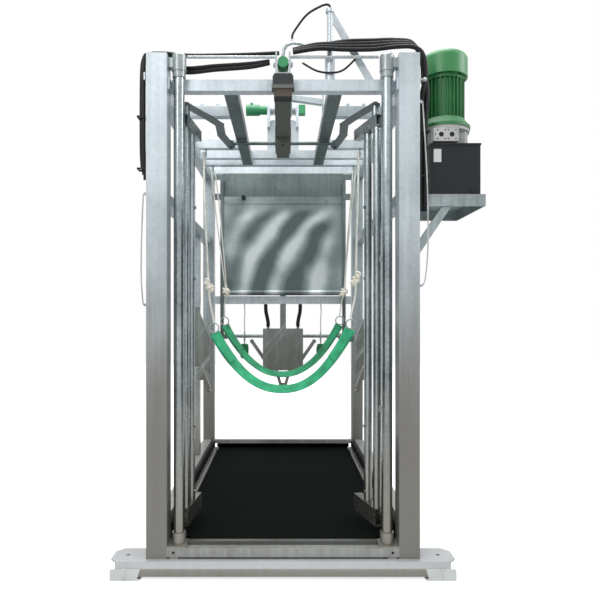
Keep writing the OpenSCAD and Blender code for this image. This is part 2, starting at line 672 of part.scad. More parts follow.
module motor_housing() color("#2f6b40") difference() {
  union() {
    rod_z(motor_x, yc(motor_y), [foot_z, foot_z + 14], flange_d);
    translate([motor_x, yc(motor_y), foot_z + 14]) cylinder(h = 34, d1 = flange_d - 6, d2 = motor_d - 4);
    rod_z(motor_x, yc(motor_y), [foot_z + 46, cowl_z], motor_d - 28);
    rod_z(motor_x, yc(motor_y), [cowl_z - 15, cowl_z], motor_d - 2);
    translate([motor_x, yc(motor_y), 0]) for (i = [0:fin_n - 1]) rotate(i * 360 / fin_n)
      box([motor_d/2 - 20, motor_d/2], [-1.6, 1.6], [foot_z + 40, cowl_z - 11]);
  }
  rod_z(motor_x, yc(motor_y), [foot_z + 14, cowl_z - 9], 116);
  rod_z(motor_x, yc(motor_y), [foot_z - 10, cowl_z + 7], 28 + 2 * fit);
}
// cowl with rounded shoulders, open vents in its floor
module cowl_form(t) let (r = cowl_d/2 - t, h = cowl_h - 2 * t) rotate_extrude()
  polygon([[0, 0], [r, 0], [r, h - 33], [r - 2, h - 25], [r - 7, h - 17], [r - 14, h - 11], [r - 24, h - 7],
    [r - 47, h - 3.5], [r - 77, h - 1], [0, h]]);
module fan_cowl() color("#3d8a52") translate([motor_x, yc(motor_y), cowl_z]) difference() {
  cowl_form(0);
  translate([0, 0, 3]) cowl_form(3);
  rod_z(0, 0, [-2, 17], 29);
  for (i = [0:11]) rotate(i * 30) rod_z(0, 96, [-3, 7], 14);
}
module terminal_box() color("#35794a") {
  box([motor_x - 50, motor_x + 50], [yc(motor_y) + motor_d/2, yc(motor_y) + motor_d/2 + 40], [foot_z + 66, cowl_z - 33]);
}
module motor_rotor() color("#9a9ea0") {
  rod_z(motor_x, yc(motor_y), [tank_top + 8.5, cowl_z + 47], 28);
  rod_z(motor_x, yc(motor_y), [foot_z + 22, cowl_z - 21], 112);
  rod_z(motor_x, yc(motor_y), [cowl_z + 29, cowl_z + 39], 60);
  translate([motor_x, yc(motor_y), 0]) for (i = [0:6]) rotate(i * 360 / 7)
    box([20, 92], [-1.5, 1.5], [cowl_z + 21, cowl_z + cowl_h - 42]);
}

// ---- far end
module panel_back() color("#6b7475") {
  box([-panel_x, panel_x], [rear_y - 8, rear_y - 8 + sheet_t], [2000, 2186]);
  both() box([rear_xi - 116, rear_xi], [rear_y - 5, rear_y], [2140, 2180]);
}
module panel_guides() color("#59625f") both() {
  difference() {
    box([panel_x - 10, panel_x + 14], [rear_y - 40, rear_y - 6], [far_z - 300, 2136]);
    box([panel_x - 11, panel_x + 0.3], [rear_y - 26.3, rear_y - 21.7], [far_z - 310, 2190]);
  }
  box([panel_x + 14, rear_xi + 6], [rear_y - 40, rear_y], [1990, 2030]);
  box([panel_x + 14, rear_xi + 6], [rear_y - 40, rear_y], [far_z - 280, far_z - 240]);
}
module head_panel() color("#aeb9bd") {
  box([-panel_x, panel_x], [rear_y - 26, rear_y - 22], [panel_z0, panel_z1]);
  box([-panel_x + 12, panel_x - 12], [rear_y - 30, rear_y - 26], [panel_z1 - 52, panel_z1]);
  rod_x([-panel_x + 14, panel_x - 14], rear_y - 24, panel_z0 - 18, lip_d);
}
module panel_knob() color("#17191a") {
  rod_y(-291, [rear_y - 52, rear_y - 30], 2000, 34);
}
module panel_bolts() color("#d9dcdd") for (p = [[25 - panel_x, panel_z1 - 25], [panel_x - 129, panel_z1 - 25]])
  translate([p[0], rear_y - 30, p[1]]) rotate([90, 0, 0]) cylinder(d = 22, h = 10, $fn = 6);
// stem, plate and bracket of the leg lift, which slides in the far middle beam
module leg_stem() color("#7b8689") {
  box([-stem_w/2, stem_w/2], [rear_y + 8, rear_y + 8 + stem_w], [plate_z1 - 60, far_z + far_h + 190]);
}
module leg_plate() color("#7f8786") {
  box([-plate_w/2, plate_w/2], [rear_y - 2, rear_y + 6], [plate_z1 - plate_h, plate_z1]);
  box([-60, 60], [rear_y + 6, rear_y + 8], [plate_z1 - 62, plate_z1 - 12]);
  box([-45, 45], [rear_y + 6, rear_y + 52], [plate_z1 - 250, plate_z1 - 110]);
  translate([0, rear_y - 2, plate_z1 - 100]) rotate([90, 0, 0]) cylinder(d = 30, h = 10, $fn = 6);
  both() box([96, 128], [rear_y + 6, rear_y + 42], [plate_z1 - 12, plate_z1]);
  both() rod_z(112, rear_y + 26, [plate_z1, plate_z1 + 14], 20);
}
module leg_bracket() color("#9aa0a2") {
  both() strut([20, rear_y + 40, 612], [70, rear_y + 40, plate_z1 - plate_h + 66], 10, 22);
  box([-30, 30], [rear_y + 34, rear_y + 46], [604, 622]);
  both() box([40, 80], [rear_y + 6, rear_y + 46], [plate_z1 - plate_h + 44, plate_z1 - plate_h + 76]);
}
module leg_arm() {
  for (y = [-14, 14]) translate([0, y + 4, 0]) rotate([90, 0, 0]) linear_extrude(8) {
    polygon([[-10, -6], [10, 6], [arm_end[0] + 10, arm_end[1] + 6], [arm_end[0] - 10, arm_end[1] - 6]]);
    circle(d = 28);
    translate(arm_end) circle(d = 28);
  }
  rod_y(0, [-22, 22], 0, 12);
  rod_y(arm_end[0], [-22, 22], arm_end[1], 12);
}
arm_x = plate_w / 2 - 2;
arm_z = 812;
arm_end = [-86, 124];
module leg_arm_left() color("#9aa0a2") translate([-arm_x, rear_y + 30, arm_z]) leg_arm();
module leg_arm_right() color("#9aa0a2") translate([arm_x, rear_y + 30, arm_z]) mirror([1, 0, 0]) leg_arm();
module arm_lugs() color("#8a9194") both() difference() {
  union() {
    box([40, arm_x], [rear_y + 20.6, rear_y + 39.4], [arm_z - 13, arm_z + 13]);
    rod_y(arm_x, [rear_y + 20.6, rear_y + 39.4], arm_z, 26);
  }
  rod_y(arm_x, [rear_y, rear_y + 60], arm_z, 12 + 2 * fit);
}
module breast_pipe() color("#b3babc") {
  rod_x([-rear_xi, rear_xi], rear_y + 66, pipe_z, pipe_d);
  both() rod_x([rear_xi - 96, rear_xi], rear_y + 66, pipe_z, 46);
}

// ---- leg rests on the sides
hx = post_xo - rest_in;
hy = yf + stanchion_y - 22;
module stanchions() color("#777d7c") both() {
  tube_z([rail_xo - 4 - stanchion_w, rail_xo - 4], [hy + 22, hy + 22 + stanchion_w], [side_z1, side_up_z], rail_wall);
  for (z = [788, 1187]) box([hx - 12, hx + 16], [hy - 9.5, hy + 23], [z, z + 8]);
  rod_z(hx, hy, [788, 1195], 16);
}
module rest() difference() {
  union() {
    for (z = [[1150, 962], [836, 646]])
      translate([0, hy + rest_w/2, 0]) rotate([90, 0, 0]) linear_extrude(rest_w)
        polygon([[hx - 14, z[0] - 34], [hx + 4, z[0] - 34], [hx + 4, z[0] + 24], [hx - 6, z[0] + 24],
          [hx - 88, z[1] + 14], [hx - 66, z[1] - 20]]);
    rod_z(hx, hy, [797, 1186], 34);
  }
  rod_z(hx, hy, [780, 1200], 16 + 2 * fit);
}
module rest_plate() color("#4f776c")
  translate([0, hy - rest_w/2, 0]) rotate([90, 0, 0]) linear_extrude(6)
    polygon([[hx + 4, 1110], [hx - 18, 1120], [hx - 80, 970], [hx - 92, 740], [hx + 4, 850]]);
module leg_rest_left() color("#7b8485") mirror([1, 0, 0]) rest();
module leg_rest_right() color("#7b8485") rest();
module rest_caps() color("#18191a") for (z = [962, 646])
  translate([hx - 77, hy, z - 4]) rotate([0, 57, 0])
    box([-4, 12], [-rest_w/2 - 1, rest_w/2 + 1], [-21, 19]);
module rest_pads() color("#0e6b3a")
  box([hx - 38, hx], [hy - 18, hy + 18], [706, 776]);

// ---- soft pieces: a tube or band swept along points
function unit(v) = v / norm(v);
function tang(p, i) = unit(p[min(i + 1, len(p) - 1)] - p[max(i - 1, 0)]);
module sweep(p, prof, ref) {
  n = len(prof);
  m = len(p);
  pts = [for (i = [0:m - 1]) let (t = tang(p, i), a = unit(cross(ref, t)), b = cross(t, a))
    for (q = prof) p[i] + q[0] * a + q[1] * b];
  polyhedron(points = pts, faces = concat(
    [[for (k = [0:n - 1]) k]], [[for (k = [n - 1:-1:0]) (m - 1) * n + k]],
    [for (i = [0:m - 2]) for (k = [0:n - 1]) let (j = (k + 1) % n)
      [i * n + k, (i + 1) * n + k, (i + 1) * n + j, i * n + j]]));
}
function ring(d, n = 8) = [for (k = [0:n - 1]) d/2 * [cos(k * 360 / n), sin(k * 360 / n)]];
module hose(p, d, ref = [0, 1, 0]) sweep(p, ring(d), ref);
// belly belt: an arc of webbing with its front edge lower than its back edge
module belt(d, xl, xr, zl, zr, zlow, w) {
  n = 20;
  p = [for (i = [0:n]) let (u = i / n, x = xl + (xr - xl) * (0.5 - 0.5 * cos(180 * u)),
      v = (x - (xl + xr) / 2) / ((xr - xl) / 2))
    [x, yc(d), zlow + ((x < 0 ? zl : zr) - zlow) * pow(abs(v), 2.2)]];
  c = 32;
  h = w / 2;
  k = belt_t / 2;
  sweep(p, [for (q = [[-h, -k], [h, -k], [h, k], [-h, k]])
    [q[0] * cos(c) - q[1] * sin(c), q[0] * sin(c) + q[1] * cos(c)]], [0, 1, 0]);
}
module belt_near() color("#2fc287") belt(belt1_y, -405, 398, 1030, 1052, 700, belt_w);
module belt_far() color("#2fb67e") belt(belt2_y, -396, 384, 1062, 1066, 731, belt_w * 0.86);
// eyes under the outer ties that the belt ropes run through
pul = [[-470, 980], [470, 980], [-475, 1378], [482, 1378]];
module roof_eyes() color("#c9ccce") for (p = pul) translate([p[0], yc(p[1]), 0]) {
  translate([0, 0, 2122]) rotate([0, 90, 0]) rotate_extrude($fn = 28) translate([18, 0]) circle(d = 9, $fn = 10);
  translate([0, 0, 2136]) cylinder(d = 14, h = roof_z - 2136);
}
module rope_knots() color("#e4e2d2") for (k = [[-441, 905, 1306], [432, 905, 1346], [-392, 1392, 1300], [418, 1392, 1296]])
  translate([k[0], yc(k[1]), k[2]]) {
    sphere(r = 20, $fn = 16);
    translate([9, -6, 14]) sphere(r = 15, $fn = 14);
    translate([-7, -8, -14]) sphere(r = 14, $fn = 14);
  }
module belt_rings() color("#c9ccce") for (k = [[-408, belt1_y, 1061.4], [401, belt1_y, 1083.4], [-399, belt2_y, 1093.6], [388, belt2_y, 1097]])
  translate([k[0], yc(k[1]), k[2]]) rotate([0, 0, 90]) rotate([90, 0, 0]) rotate_extrude($fn = 28)
    translate([28, 0]) circle(d = 8, $fn = 10);
module ropes_near() color("#d8dacb") {
  hose([[-481.2, yc(984), 2128], [-481.2, yc(976), 2100], [-478, yc(960), 1990], [-468, yc(935), 1760],
    [-456, yc(915), 1540], [-444, yc(905), 1330], [-436, yc(900), 1230], [-416, yc(892), 1130], [-409, yc(belt1_y), 1089]], rope_d);
  hose([[458.8, yc(982), 2128], [458.8, yc(976), 2100], [452, yc(950), 1900], [441, yc(920), 1600],
    [434, yc(905), 1370], [428, yc(898), 1250], [404, yc(886), 1142], [402, yc(belt1_y), 1111]], rope_d);
}
module ropes_far() color("#d8dacb") {
  hose([[-484.3, yc(1360), 2112], [-474, yc(1362), 2000], [-440, yc(1376), 1700], [-404, yc(1388), 1400],
    [-392, yc(1392), 1300], [-398, yc(1396), 1200], [-399, yc(belt2_y), 1122]], cord_d);
  hose([[-462, yc(1360), 2112], [-440, yc(1364), 1950], [-412, yc(1376), 1650], [-392, yc(1388), 1400], [-384, yc(1392), 1316]], cord_d);
  hose([[472.4, yc(1360), 2112], [462, yc(1364), 1950], [438, yc(1376), 1650], [424, yc(1388), 1400],
    [416, yc(1392), 1300], [394, yc(1398), 1190], [388, yc(belt2_y), 1126]], cord_d);
  hose([[491.6, yc(1360), 2112], [478, yc(1362), 1980], [452, yc(1376), 1720], [430, yc(1388), 1450], [424, yc(1392), 1316]], cord_d);
}
cuff_y = rear_y + 46;
module cuff(x, z, w, h) {
  box([x - w/2, x + w/2], [cuff_y - 4, cuff_y + 4], [z - h, z]);
  box([x - w/2 - 4, x + w/2 - 14], [cuff_y - 12, cuff_y - 4], [z - h + 22, z - 16]);
  box([x - 12, x + 12], [cuff_y - 4, cuff_y + 4], [z, z + 4.2]);
}
module leg_cuffs() color("#0c7a44") { cuff(-290, 912, 60, 112); cuff(284, 912, 56, 90); }
module cuff_rings() color("#c9ccce") for (x = [-290, 284])
  translate([x, cuff_y, 966]) rotate([0, 90, 0]) rotate_extrude($fn = 28)
    translate([46, 0]) circle(d = 7, $fn = 10);
module cuff_ropes() color("#cfcbb4") for (x = [-291, 287])
  hose([[x, rear_y + 30, far_z - 1], [x + 3, rear_y + 32, 1150], [x - 1, rear_y + 40, 1080], [x + 1, cuff_y, 1012]], cord_d);
module rope_loops() color("#dfe0d8") {
  hose([[-post_xo - 15.3, yc(14), 1672], [-post_xo - 20, yc(14), 1560], [-post_xo - 24, yc(14), 1420], [-post_xo - 24, yc(14), 1300],
    [-post_xo - 18, yc(14), 1210], [-post_xo - 15.3, yc(14), 1186]], 6);
  hose([[post_xo + 15.3, yc(14), 2074], [post_xo + 26, yc(14), 1900], [post_xo + 34, yc(14), 1750], [post_xo + 38, yc(14), 1600],
    [post_xo + 38, yc(14), 1440], [post_xo + 28, yc(14), 1310], [post_xo + 15.3, yc(14), 1270]], 6);
}
module rope_eyes() color("#c9ccce") for (e = [[-1, 1186], [-1, 1672], [1, 1270], [1, 2074]])
  translate([e[0] * (post_xo + 6), yc(14), e[1]]) cube([12, 12, 12], center = true);

// ---- hoses that the frame holds all along
module hoses_front() color("#14151a") {
  for (i = [0:1]) hose([[-post_xo + 30, yc(66) + i*22, post_top + 12], [-post_xo + 96, yc(74) + i*22, post_top + 16],
    [-450, yc(104), 2262 - i*18], [-300, yc(94), 2266 - i*16], [-150, yc(90), 2274 - i*14], [-60, yc(86), 2284 - i*8]], hose_d);
  hose([[-post_xo + 20, yc(40), post_top + 12], [-520, yc(60), 2306], [-420, yc(84), 2308], [-200, yc(86), 2312], [-60, yc(90), 2320],
    [-18, yc(93), 2324]], hose_d);
}
module hoses_top() color("#14151a") {
  for (i = [0:2]) hose([[44, yc(56 + i*7), 2310 + i*9], [156, yc(50 + i*5.5), 2324 + i*12],
    [280, yc(54 + i*4), 2322 + i*14], [400, yc(52 + i*6), 2322 + i*16],
    [500, yc(50 + i*8), 2332 + i*14], [post_xo - 16, yc(44 + i*12), 2328 + i*12], [post_xo + 24, yc(38 + i*14), 2290],
    [post_xo + 36, yc(38 + i*14), 2200]], hose_d);
  // this one goes on from the steel elbow, face to face with its end
  hose([elbow_end + 0.5 * elbow_way, elbow_end + 15 * elbow_way, [164, yc(77), 2350], [280, yc(66), 2364], [400, yc(70), 2370],
    [500, yc(74), 2374], [post_xo - 16, yc(80), 2364], [post_xo + 24, yc(80), 2290], [post_xo + 36, yc(80), 2200]], hose_d);
}
// beside the post the bundle runs in two rows; the rear row ends above the shelf
module hoses_right() color("#14151a") for (i = [0:3]) let (x = post_xo + 12 + (i % 2) * 20, y = i < 2 ? 36 : 58)
  hose([[post_xo + 36, yc(38 + i*14), 2200], [x + 10, yc(y), 2120], [x + 2, yc(y), 1980], [x, yc(y), 1760],
    [x, yc(y), i < 2 ? 1600 : shelf_z + 14]], hose_d);
module hoses_left() color("#14151a") for (i = [0:2]) let (x = -post_xo - 11 - i * 9, y = 26 + i * 12.1)
  hose([[-post_xo + 24, yc([40, 66, 88][i]), post_top + 12], [-post_xo - 7 - i*5, yc(38 + i*17), post_top + 8 + i*2],
    [x - 4, yc(34 + i*18), post_top - 14], [x - 4, yc(y), 2150], [x - 4, yc(y), 1880], [x + 1, yc(y), 1736 + i * 26]], hose_d - 4);
module tie(x, y, z) difference() {
  box(x, y, z);
  box([x[0] - 10, x[1] - 3], [y[0] + 3, y[1] - 3], [z[0] - 1, z[1] + 1]);
}
module hose_ties() color("#24262a") {
  for (z = [1750, 1945]) tie([post_xo, post_xo + 48], [yc(22), yc(72)], [z, z + 9]);
  for (z = [1780, 2008]) mirror([1, 0, 0]) tie([post_xo, post_xo + 44], [yc(15.2), yc(61)], [z, z + 8]);
}
elbow_end = [118, yc(88), cyl_z + 88];
elbow_way = unit([38, -3, -16]);
module hose_elbow() color("#c6cac4") {
  rod_z(0, yc(96), [cyl_z + 34, cyl_z + 60], 14);
  hose([[0, yc(96), cyl_z + 54], [4, yc(96), cyl_z + 80], [18, yc(95), cyl_z + 100], [44, yc(93), cyl_z + 108],
    elbow_end - 41.3 * elbow_way, elbow_end], 16);
  rod_z(42, yc(93), [cyl_z + 106, cyl_z + 124], 12);
}
module mast_hose() color("#14151a") {
  hose([[42, yc(93), cyl_z + 124.3], [42, yc(93), cyl_z + 142], [58, yc(94), 2434], [110, yc(94), 2500], [178, yc(95), 2540], [205, yc(98), 2545], [212, yc(99), 2537],
    [212, yc(99), 2524.3]], 9);
  hose([[90, yc(118), 2290], [150, yc(78), 2238], [212, yc(71.7), 2226], [270, yc(76), 2240], [330, yc(78), 2296]], 9);
}
hose_y = rear_y + 26;
module stem_hoses() color("#101214") both()
  hose([[130, hose_y, far_z - 1], [128, hose_y, 1160], [118, hose_y, 1112], [112, hose_y, plate_z1 + 44], [112, hose_y, plate_z1 + 14.3]], 30);
module hose_fittings() color("#c9ccce") {
  translate([post_xo + 24, yc(14), 2172]) sphere(r = 10, $fn = 20);
  rod_x([post_xo, post_xo + 20], yc(14), 2172, 9);
  rod_z(-post_xo - 7.2, yc(10), [2168, 2200], 14);
}

// ---- the nodes
module floor_rails() { bottom_rails(); far_floor_rail(); }
module mat_strips() { mat_strip(); kick_rails(); }
module mat_and_skirts() { rubber_mat(); rubber_skirts(); }
module side_rails() { top_rails(); upper_side_rails(); }
module roof_beams() { roof_beam_left(); roof_beam_right(); }
module roof_ties() { roof_ties_front(); roof_ties_rear(); }
module far_beams() { far_top_beam(); far_middle_beam(); }
module cylinder_mount() { cylinder_ears(); cylinder_pin(); cylinder_saddle(); }
module hose_mast() { mast_sleeve(); mast(); }
module winch_drive() { winch_motor(); winch_bearing(); }
module belt_winch() { winch_drum(); winch_rope(); }
module shelf() { pack_shelf(); shelf_braces(); }
module tank() { oil_tank(); tank_lid(); tank_plugs(); }
module guide_frame() { panel_back(); panel_guides(); }
module sliding_panel() { head_panel(); panel_bolts(); }
module leg_lift() { leg_stem(); leg_plate(); leg_bracket(); arm_lugs(); }
module rest_extras() { rest_plate(); rest_caps(); rest_pads(); }
module leg_rests_l() { leg_rest_left(); mirror([1, 0, 0]) rest_extras(); }
module leg_rests_r() { leg_rest_right(); rest_extras(); }
module frame_hoses() { hoses_front(); hoses_top(); hoses_right(); hoses_left(); mast_hose(); }
module steel_fittings() { hose_pipe(); hose_elbow(); hose_fittings(); rope_eyes(); roof_eyes(); }
module black_fittings() { hose_ties(); port_plugs(); }
module belly_belts() { belt_near(); belt_far(); }
module ropes() { ropes_near(); ropes_far(); rope_knots(); belt_rings(); cuff_ropes(); cuff_rings(); rope_loops(); stem_hoses(); }
front_base_beam();
rear_base_beam();
foot_shoes();
front_post_left();
front_post_right();
rear_post_left();
rear_post_right();
threshold_rail();
floor_rails();
floor_tray();
mat_and_skirts();
mat_strips();
gate_seats();
gate_caps();
front_crossbar();
side_rails();
roof_beams();
roof_ties();
far_beams();
middle_beam();
beam_head();
cylinder_mount();
gate_cylinder();
hose_mast();
beam_hanger();
winch_plate();
winch_drive();
shelf();
tank();
valve_block();
pump_adapter();
oil_pump();
motor_housing();
fan_cowl();
terminal_box();
guide_frame();
breast_pipe();
stanchions();
frame_hoses();
steel_fittings();
black_fittings();
gate_trolley();
cross_rod();
piston_rod();
link_left();
link_right();
gate_left();
gate_right();
sliding_panel();
panel_knob();
leg_lift();
leg_arm_left();
leg_arm_right();
leg_rests_l();
leg_rests_r();
belt_winch();
motor_rotor();
belly_belts();
ropes();
leg_cuffs();
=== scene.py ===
# %% [markdown]
# # A hoof trimming chute
# This chute is an open cage of hot-dip galvanised tube with powered entrance gates. The exact steelwork
# comes from the imported CAD model. Here it gets its finishes, and everything that is soft, laid, woven or
# cast gets a fuller form. We could model the steel again, but keeping the CAD shapes means that every hole
# and joint stays where the CAD model has it.

# %% Load the frame
import math

import bmesh
import bpy
from mathutils import Matrix, Vector, noise


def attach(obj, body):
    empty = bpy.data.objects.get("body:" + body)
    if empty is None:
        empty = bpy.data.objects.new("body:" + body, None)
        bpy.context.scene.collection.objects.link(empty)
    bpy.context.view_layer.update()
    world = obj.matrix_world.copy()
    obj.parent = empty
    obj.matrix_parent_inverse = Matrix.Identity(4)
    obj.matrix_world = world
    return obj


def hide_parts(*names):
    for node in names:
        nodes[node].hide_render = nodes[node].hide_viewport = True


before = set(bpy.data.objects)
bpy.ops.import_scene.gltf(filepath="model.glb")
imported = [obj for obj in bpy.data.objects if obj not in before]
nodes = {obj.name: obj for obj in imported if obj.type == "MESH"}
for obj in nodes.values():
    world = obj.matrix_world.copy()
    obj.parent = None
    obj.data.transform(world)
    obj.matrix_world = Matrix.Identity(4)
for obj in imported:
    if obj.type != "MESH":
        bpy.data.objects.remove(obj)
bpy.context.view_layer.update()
MM = 0.001

# %% [markdown]
# ## The camera
# The photograph was taken from two and a half metres in front of the entrance, at chest height.
# A lens of about 34 mm gives that view; a small shift keeps the uprights straight, as a view camera would.

# %% Camera
entrance_mm = -920
entrance_y = entrance_mm * MM
eye_height = 1155 * MM
eye_distance = 2450 * MM
photo_focal_px = 563.2
photo_px = 600
camera_data = bpy.data.cameras.new("photo_camera")
camera_data.sensor_width = 36
camera_data.lens = 36 * photo_focal_px / photo_px
camera_data.shift_x = 17 / photo_px
camera_data.shift_y = 12 / photo_px
camera = bpy.data.objects.new("photo_camera", camera_data)
camera.location = (0, entrance_y - eye_distance, eye_height)
camera.rotation_euler = (math.radians(90), 0, 0)
bpy.context.collection.objects.link(camera)
bpy.context.scene.camera = camera
print("lens", round(camera_data.lens, 1), "mm")

# %% [markdown]
# ## Small helpers
# A few helpers keep the later cells short. They turn a paint-chart colour into the linear numbers that a
# shader needs, add a shader node, start a finish, lay bands of colour over it by height, and put a mesh in
# the scene, as a bare object or as a piece that rides on the frame.

# %% Helpers for nodes and pieces
def paint(chart):
    """The linear colour of an sRGB hex value."""
    parts = [int(chart[i:i + 2], 16) / 255 for i in (1, 3, 5)]
    return tuple(c / 12.92 if c <= 0.04045 else ((c + 0.055) / 1.055) ** 2.4 for c in parts) + (1.0,)


def add(tree, kind, settings=None, sockets=None):
    """Adds one node. A socket takes a value or the output that feeds it; a ramp takes its stops as settings."""
    made = tree.nodes.new(kind)
    for name, value in (settings or {}).items():
        if name == "stops":
            while len(made.color_ramp.elements) < len(value):
                made.color_ramp.elements.new(0.5)
            for element, (place, colour) in zip(made.color_ramp.elements, value):
                element.position = place
                element.color = paint(colour) if isinstance(colour, str) else (colour, colour, colour, 1)
        else:
            setattr(made, name, value)
    for name, value in (sockets or {}).items():
        if isinstance(value, bpy.types.NodeSocket):
            tree.links.new(value, made.inputs[name])
        else:
            made.inputs[name].default_value = value
    return made


def start_finish(name, metallic, roughness):
    """A new material with its shader's plain values set."""
    finish = bpy.data.materials.new(name)
    finish.use_nodes = True
    tree = finish.node_tree
    shader = tree.nodes["Principled BSDF"]
    shader.inputs["Metallic"].default_value = metallic
    shader.inputs["Roughness"].default_value = roughness
    return finish, tree, shader


def height_bands(finish, low, high, stops, share):
    """Lays a row of colours over a finish, by height between two levels in metres."""
    tree = finish.node_tree
    base = tree.nodes["Principled BSDF"].inputs["Base Color"]
    place = add(tree, "ShaderNodeTexCoord").outputs["Object"]
    axes = add(tree, "ShaderNodeSeparateXYZ", None, {"Vector": place})
    level = add(tree, "ShaderNodeMapRange", None,
                {"Value": axes.outputs["Z"], "From Min": low, "From Max": high})
    row = add(tree, "ShaderNodeValToRGB", {"stops": stops}, {"Fac": level.outputs["Result"]})
    both = add(tree, "ShaderNodeMix", {"data_type": "RGBA"},
               {"Factor": share, "A": base.links[0].from_socket, "B": row.outputs["Color"]})
    tree.links.new(both.outputs["Result"], base)


def put(name, shape, finish):
    """Turns a bmesh into a named object of the scene."""
    mesh = bpy.data.meshes.new(name)
    shape.to_mesh(mesh)
    shape.free()
    made = bpy.data.objects.new(name, mesh)
    bpy.context.collection.objects.link(made)
    mesh.materials.append(finish)
    return made


def keep(name, shape, finish, smooth=True):
    """Turns a bmesh into a named piece that rides on the frame."""
    piece = put(name, shape, finish)
    for face in piece.data.polygons:
        face.use_smooth = smooth
    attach(piece, "frame")
    return piece


# %% [markdown]
# ## Galvanised steel
# The tubes are dipped in molten zinc, which freezes into crystals called spangle, a centimetre or two across,
# with cloudy patches and drips down the uprights. To the eye that is a pale blue-grey metal. Low down it is
# painted a duller, browner grey: partly the splashes that dry on it near the ground, partly painted shade,
# which leaves the upper parts brighter as if lit by the sky. Voronoi cells give the crystals, and stretched
# noise gives the runs.

# %% Galvanised finishes
def galvanised(name, bright, dull, grime_and_shade, spangle_mm=16, roughness=0.4, metallic=0.45, grime_and_shade_top=1.5):
    """Zinc between two tones, with spangle, runs, and a darker browner tone, dirt and painted shade in one,
    that thickens below the top height in metres.
    """
    finish, tree, shader = start_finish(name, metallic, roughness)
    place = add(tree, "ShaderNodeTexCoord").outputs["Object"]
    crystals = add(tree, "ShaderNodeTexVoronoi", None, {"Vector": place, "Scale": 1000 / spangle_mm})
    crystal_tone = add(tree, "ShaderNodeSeparateColor", None, {"Color": crystals.outputs["Color"]})
    clouds = add(tree, "ShaderNodeTexNoise", None,
                 {"Vector": place, "Scale": 3.2, "Detail": 5.0, "Roughness": 0.5})
    stretched = add(tree, "ShaderNodeMapping", None, {"Vector": place, "Scale": (34.0, 34.0, 1.6)})
    runs = add(tree, "ShaderNodeTexNoise", None,
               {"Vector": stretched.outputs["Vector"], "Scale": 1.0, "Detail": 4.0, "Roughness": 0.6})
    tone = add(tree, "ShaderNodeMath", {"operation": "MULTIPLY_ADD"},
               {0: crystal_tone.outputs[0], 1: 0.12, 2: clouds.outputs["Fac"]})
    tone = add(tree, "ShaderNodeMath", {"operation": "MULTIPLY_ADD"},
               {0: runs.outputs["Fac"], 1: 0.55, 2: tone.outputs[0]})
    zinc = add(tree, "ShaderNodeValToRGB", {"stops": [(0.5, dull), (1.0, bright)]},
               {"Fac": tone.outputs[0]})
    height = add(tree, "ShaderNodeSeparateXYZ", None, {"Vector": place})
    # below the top height the zinc is mixed toward the low colour: partly dirt, partly painted shade
    uneven = add(tree, "ShaderNodeMath", {"operation": "MULTIPLY_ADD"},
                 {0: runs.outputs["Fac"], 1: 0.35, 2: height.outputs["Z"]})
    grime_and_shade_mask = add(tree, "ShaderNodeMapRange", {"interpolation_type": "SMOOTHSTEP"},
                 {"Value": uneven.outputs[0], "From Min": grime_and_shade_top + 0.2, "From Max": grime_and_shade_top - 0.95,
                  "To Min": 0.0, "To Max": 0.88})
    colour = add(tree, "ShaderNodeMix", {"data_type": "RGBA"},
                 {"Factor": grime_and_shade_mask.outputs[0], "A": zinc.outputs["Color"], "B": paint(grime_and_shade)})
    tree.links.new(colour.outputs["Result"], shader.inputs["Base Color"])
    gloss = add(tree, "ShaderNodeMapRange", None,
                {"Value": clouds.outputs["Fac"], "From Min": 0.3, "From Max": 0.7,
                 "To Min": roughness - 0.1, "To Max": roughness + 0.14})
    tree.links.new(gloss.outputs["Result"], shader.inputs["Roughness"])
    grain = add(tree, "ShaderNodeTexNoise", None, {"Vector": place, "Scale": 160.0, "Detail": 3.0})
    drips = add(tree, "ShaderNodeMath", {"operation": "MULTIPLY_ADD"},
                {0: runs.outputs["Fac"], 1: 2.0, 2: grain.outputs["Fac"]})
    relief = add(tree, "ShaderNodeBump", None,
                 {"Height": drips.outputs[0], "Strength": 0.25, "Distance": 0.0012})
    tree.links.new(relief.outputs["Normal"], shader.inputs["Normal"])
    return finish


# the last colour of each finish is its low tone: dirt and painted shade in one
zinc_post = galvanised("galvanised_posts", "#cfd9df", "#a9b5bb", "#77726a", grime_and_shade_top=1.75, metallic=0.2)
zinc_tube = galvanised("galvanised_tube", "#a9b4b6", "#6b7679", "#5b5a53", roughness=0.3, metallic=0.6,
                       grime_and_shade_top=1.2)
zinc_gate = galvanised("galvanised_gate", "#b7c1c4", "#6d777a", "#8d897f", roughness=0.22, metallic=0.85,
                       grime_and_shade_top=1.2)
zinc_roof = galvanised("galvanised_roof_tube", "#d2dce2", "#aeb9be", "#8a8a82", roughness=0.33, metallic=0.35)
zinc_shaded = galvanised("galvanised_shaded_tube", "#6f7b7b", "#455050", "#454640")
zinc_base = galvanised("galvanised_base", "#c3c8c8", "#8f9391", "#7b776c", roughness=0.42, grime_and_shade_top=0.7,
                       metallic=0.35)
zinc_beam = galvanised("galvanised_base_beams", "#c9cecf", "#9b9f9e", "#86837a", roughness=0.42, grime_and_shade_top=0.7,
                       metallic=0.35)
# the base beams get a near white band along their top, a painted highlight where light falls on the top edge,
# over a brownish grey lower face
beam_bands_painted_top_highlight = [(0.0, "#8a877d"), (0.24, "#96938a"), (0.36, "#dde1e3"), (1.0, "#d6dadd")]
height_bands(zinc_beam, 0.03, 0.09, beam_bands_painted_top_highlight, 0.7)
zinc_caps = galvanised("galvanised_caps", "#a9b1b2", "#838b8c", "#8a8a83", roughness=0.38, metallic=0.4)
zinc_bright = galvanised("galvanised_bright_parts", "#c3cbce", "#858f92", "#8d897e", spangle_mm=9,
                         roughness=0.3)
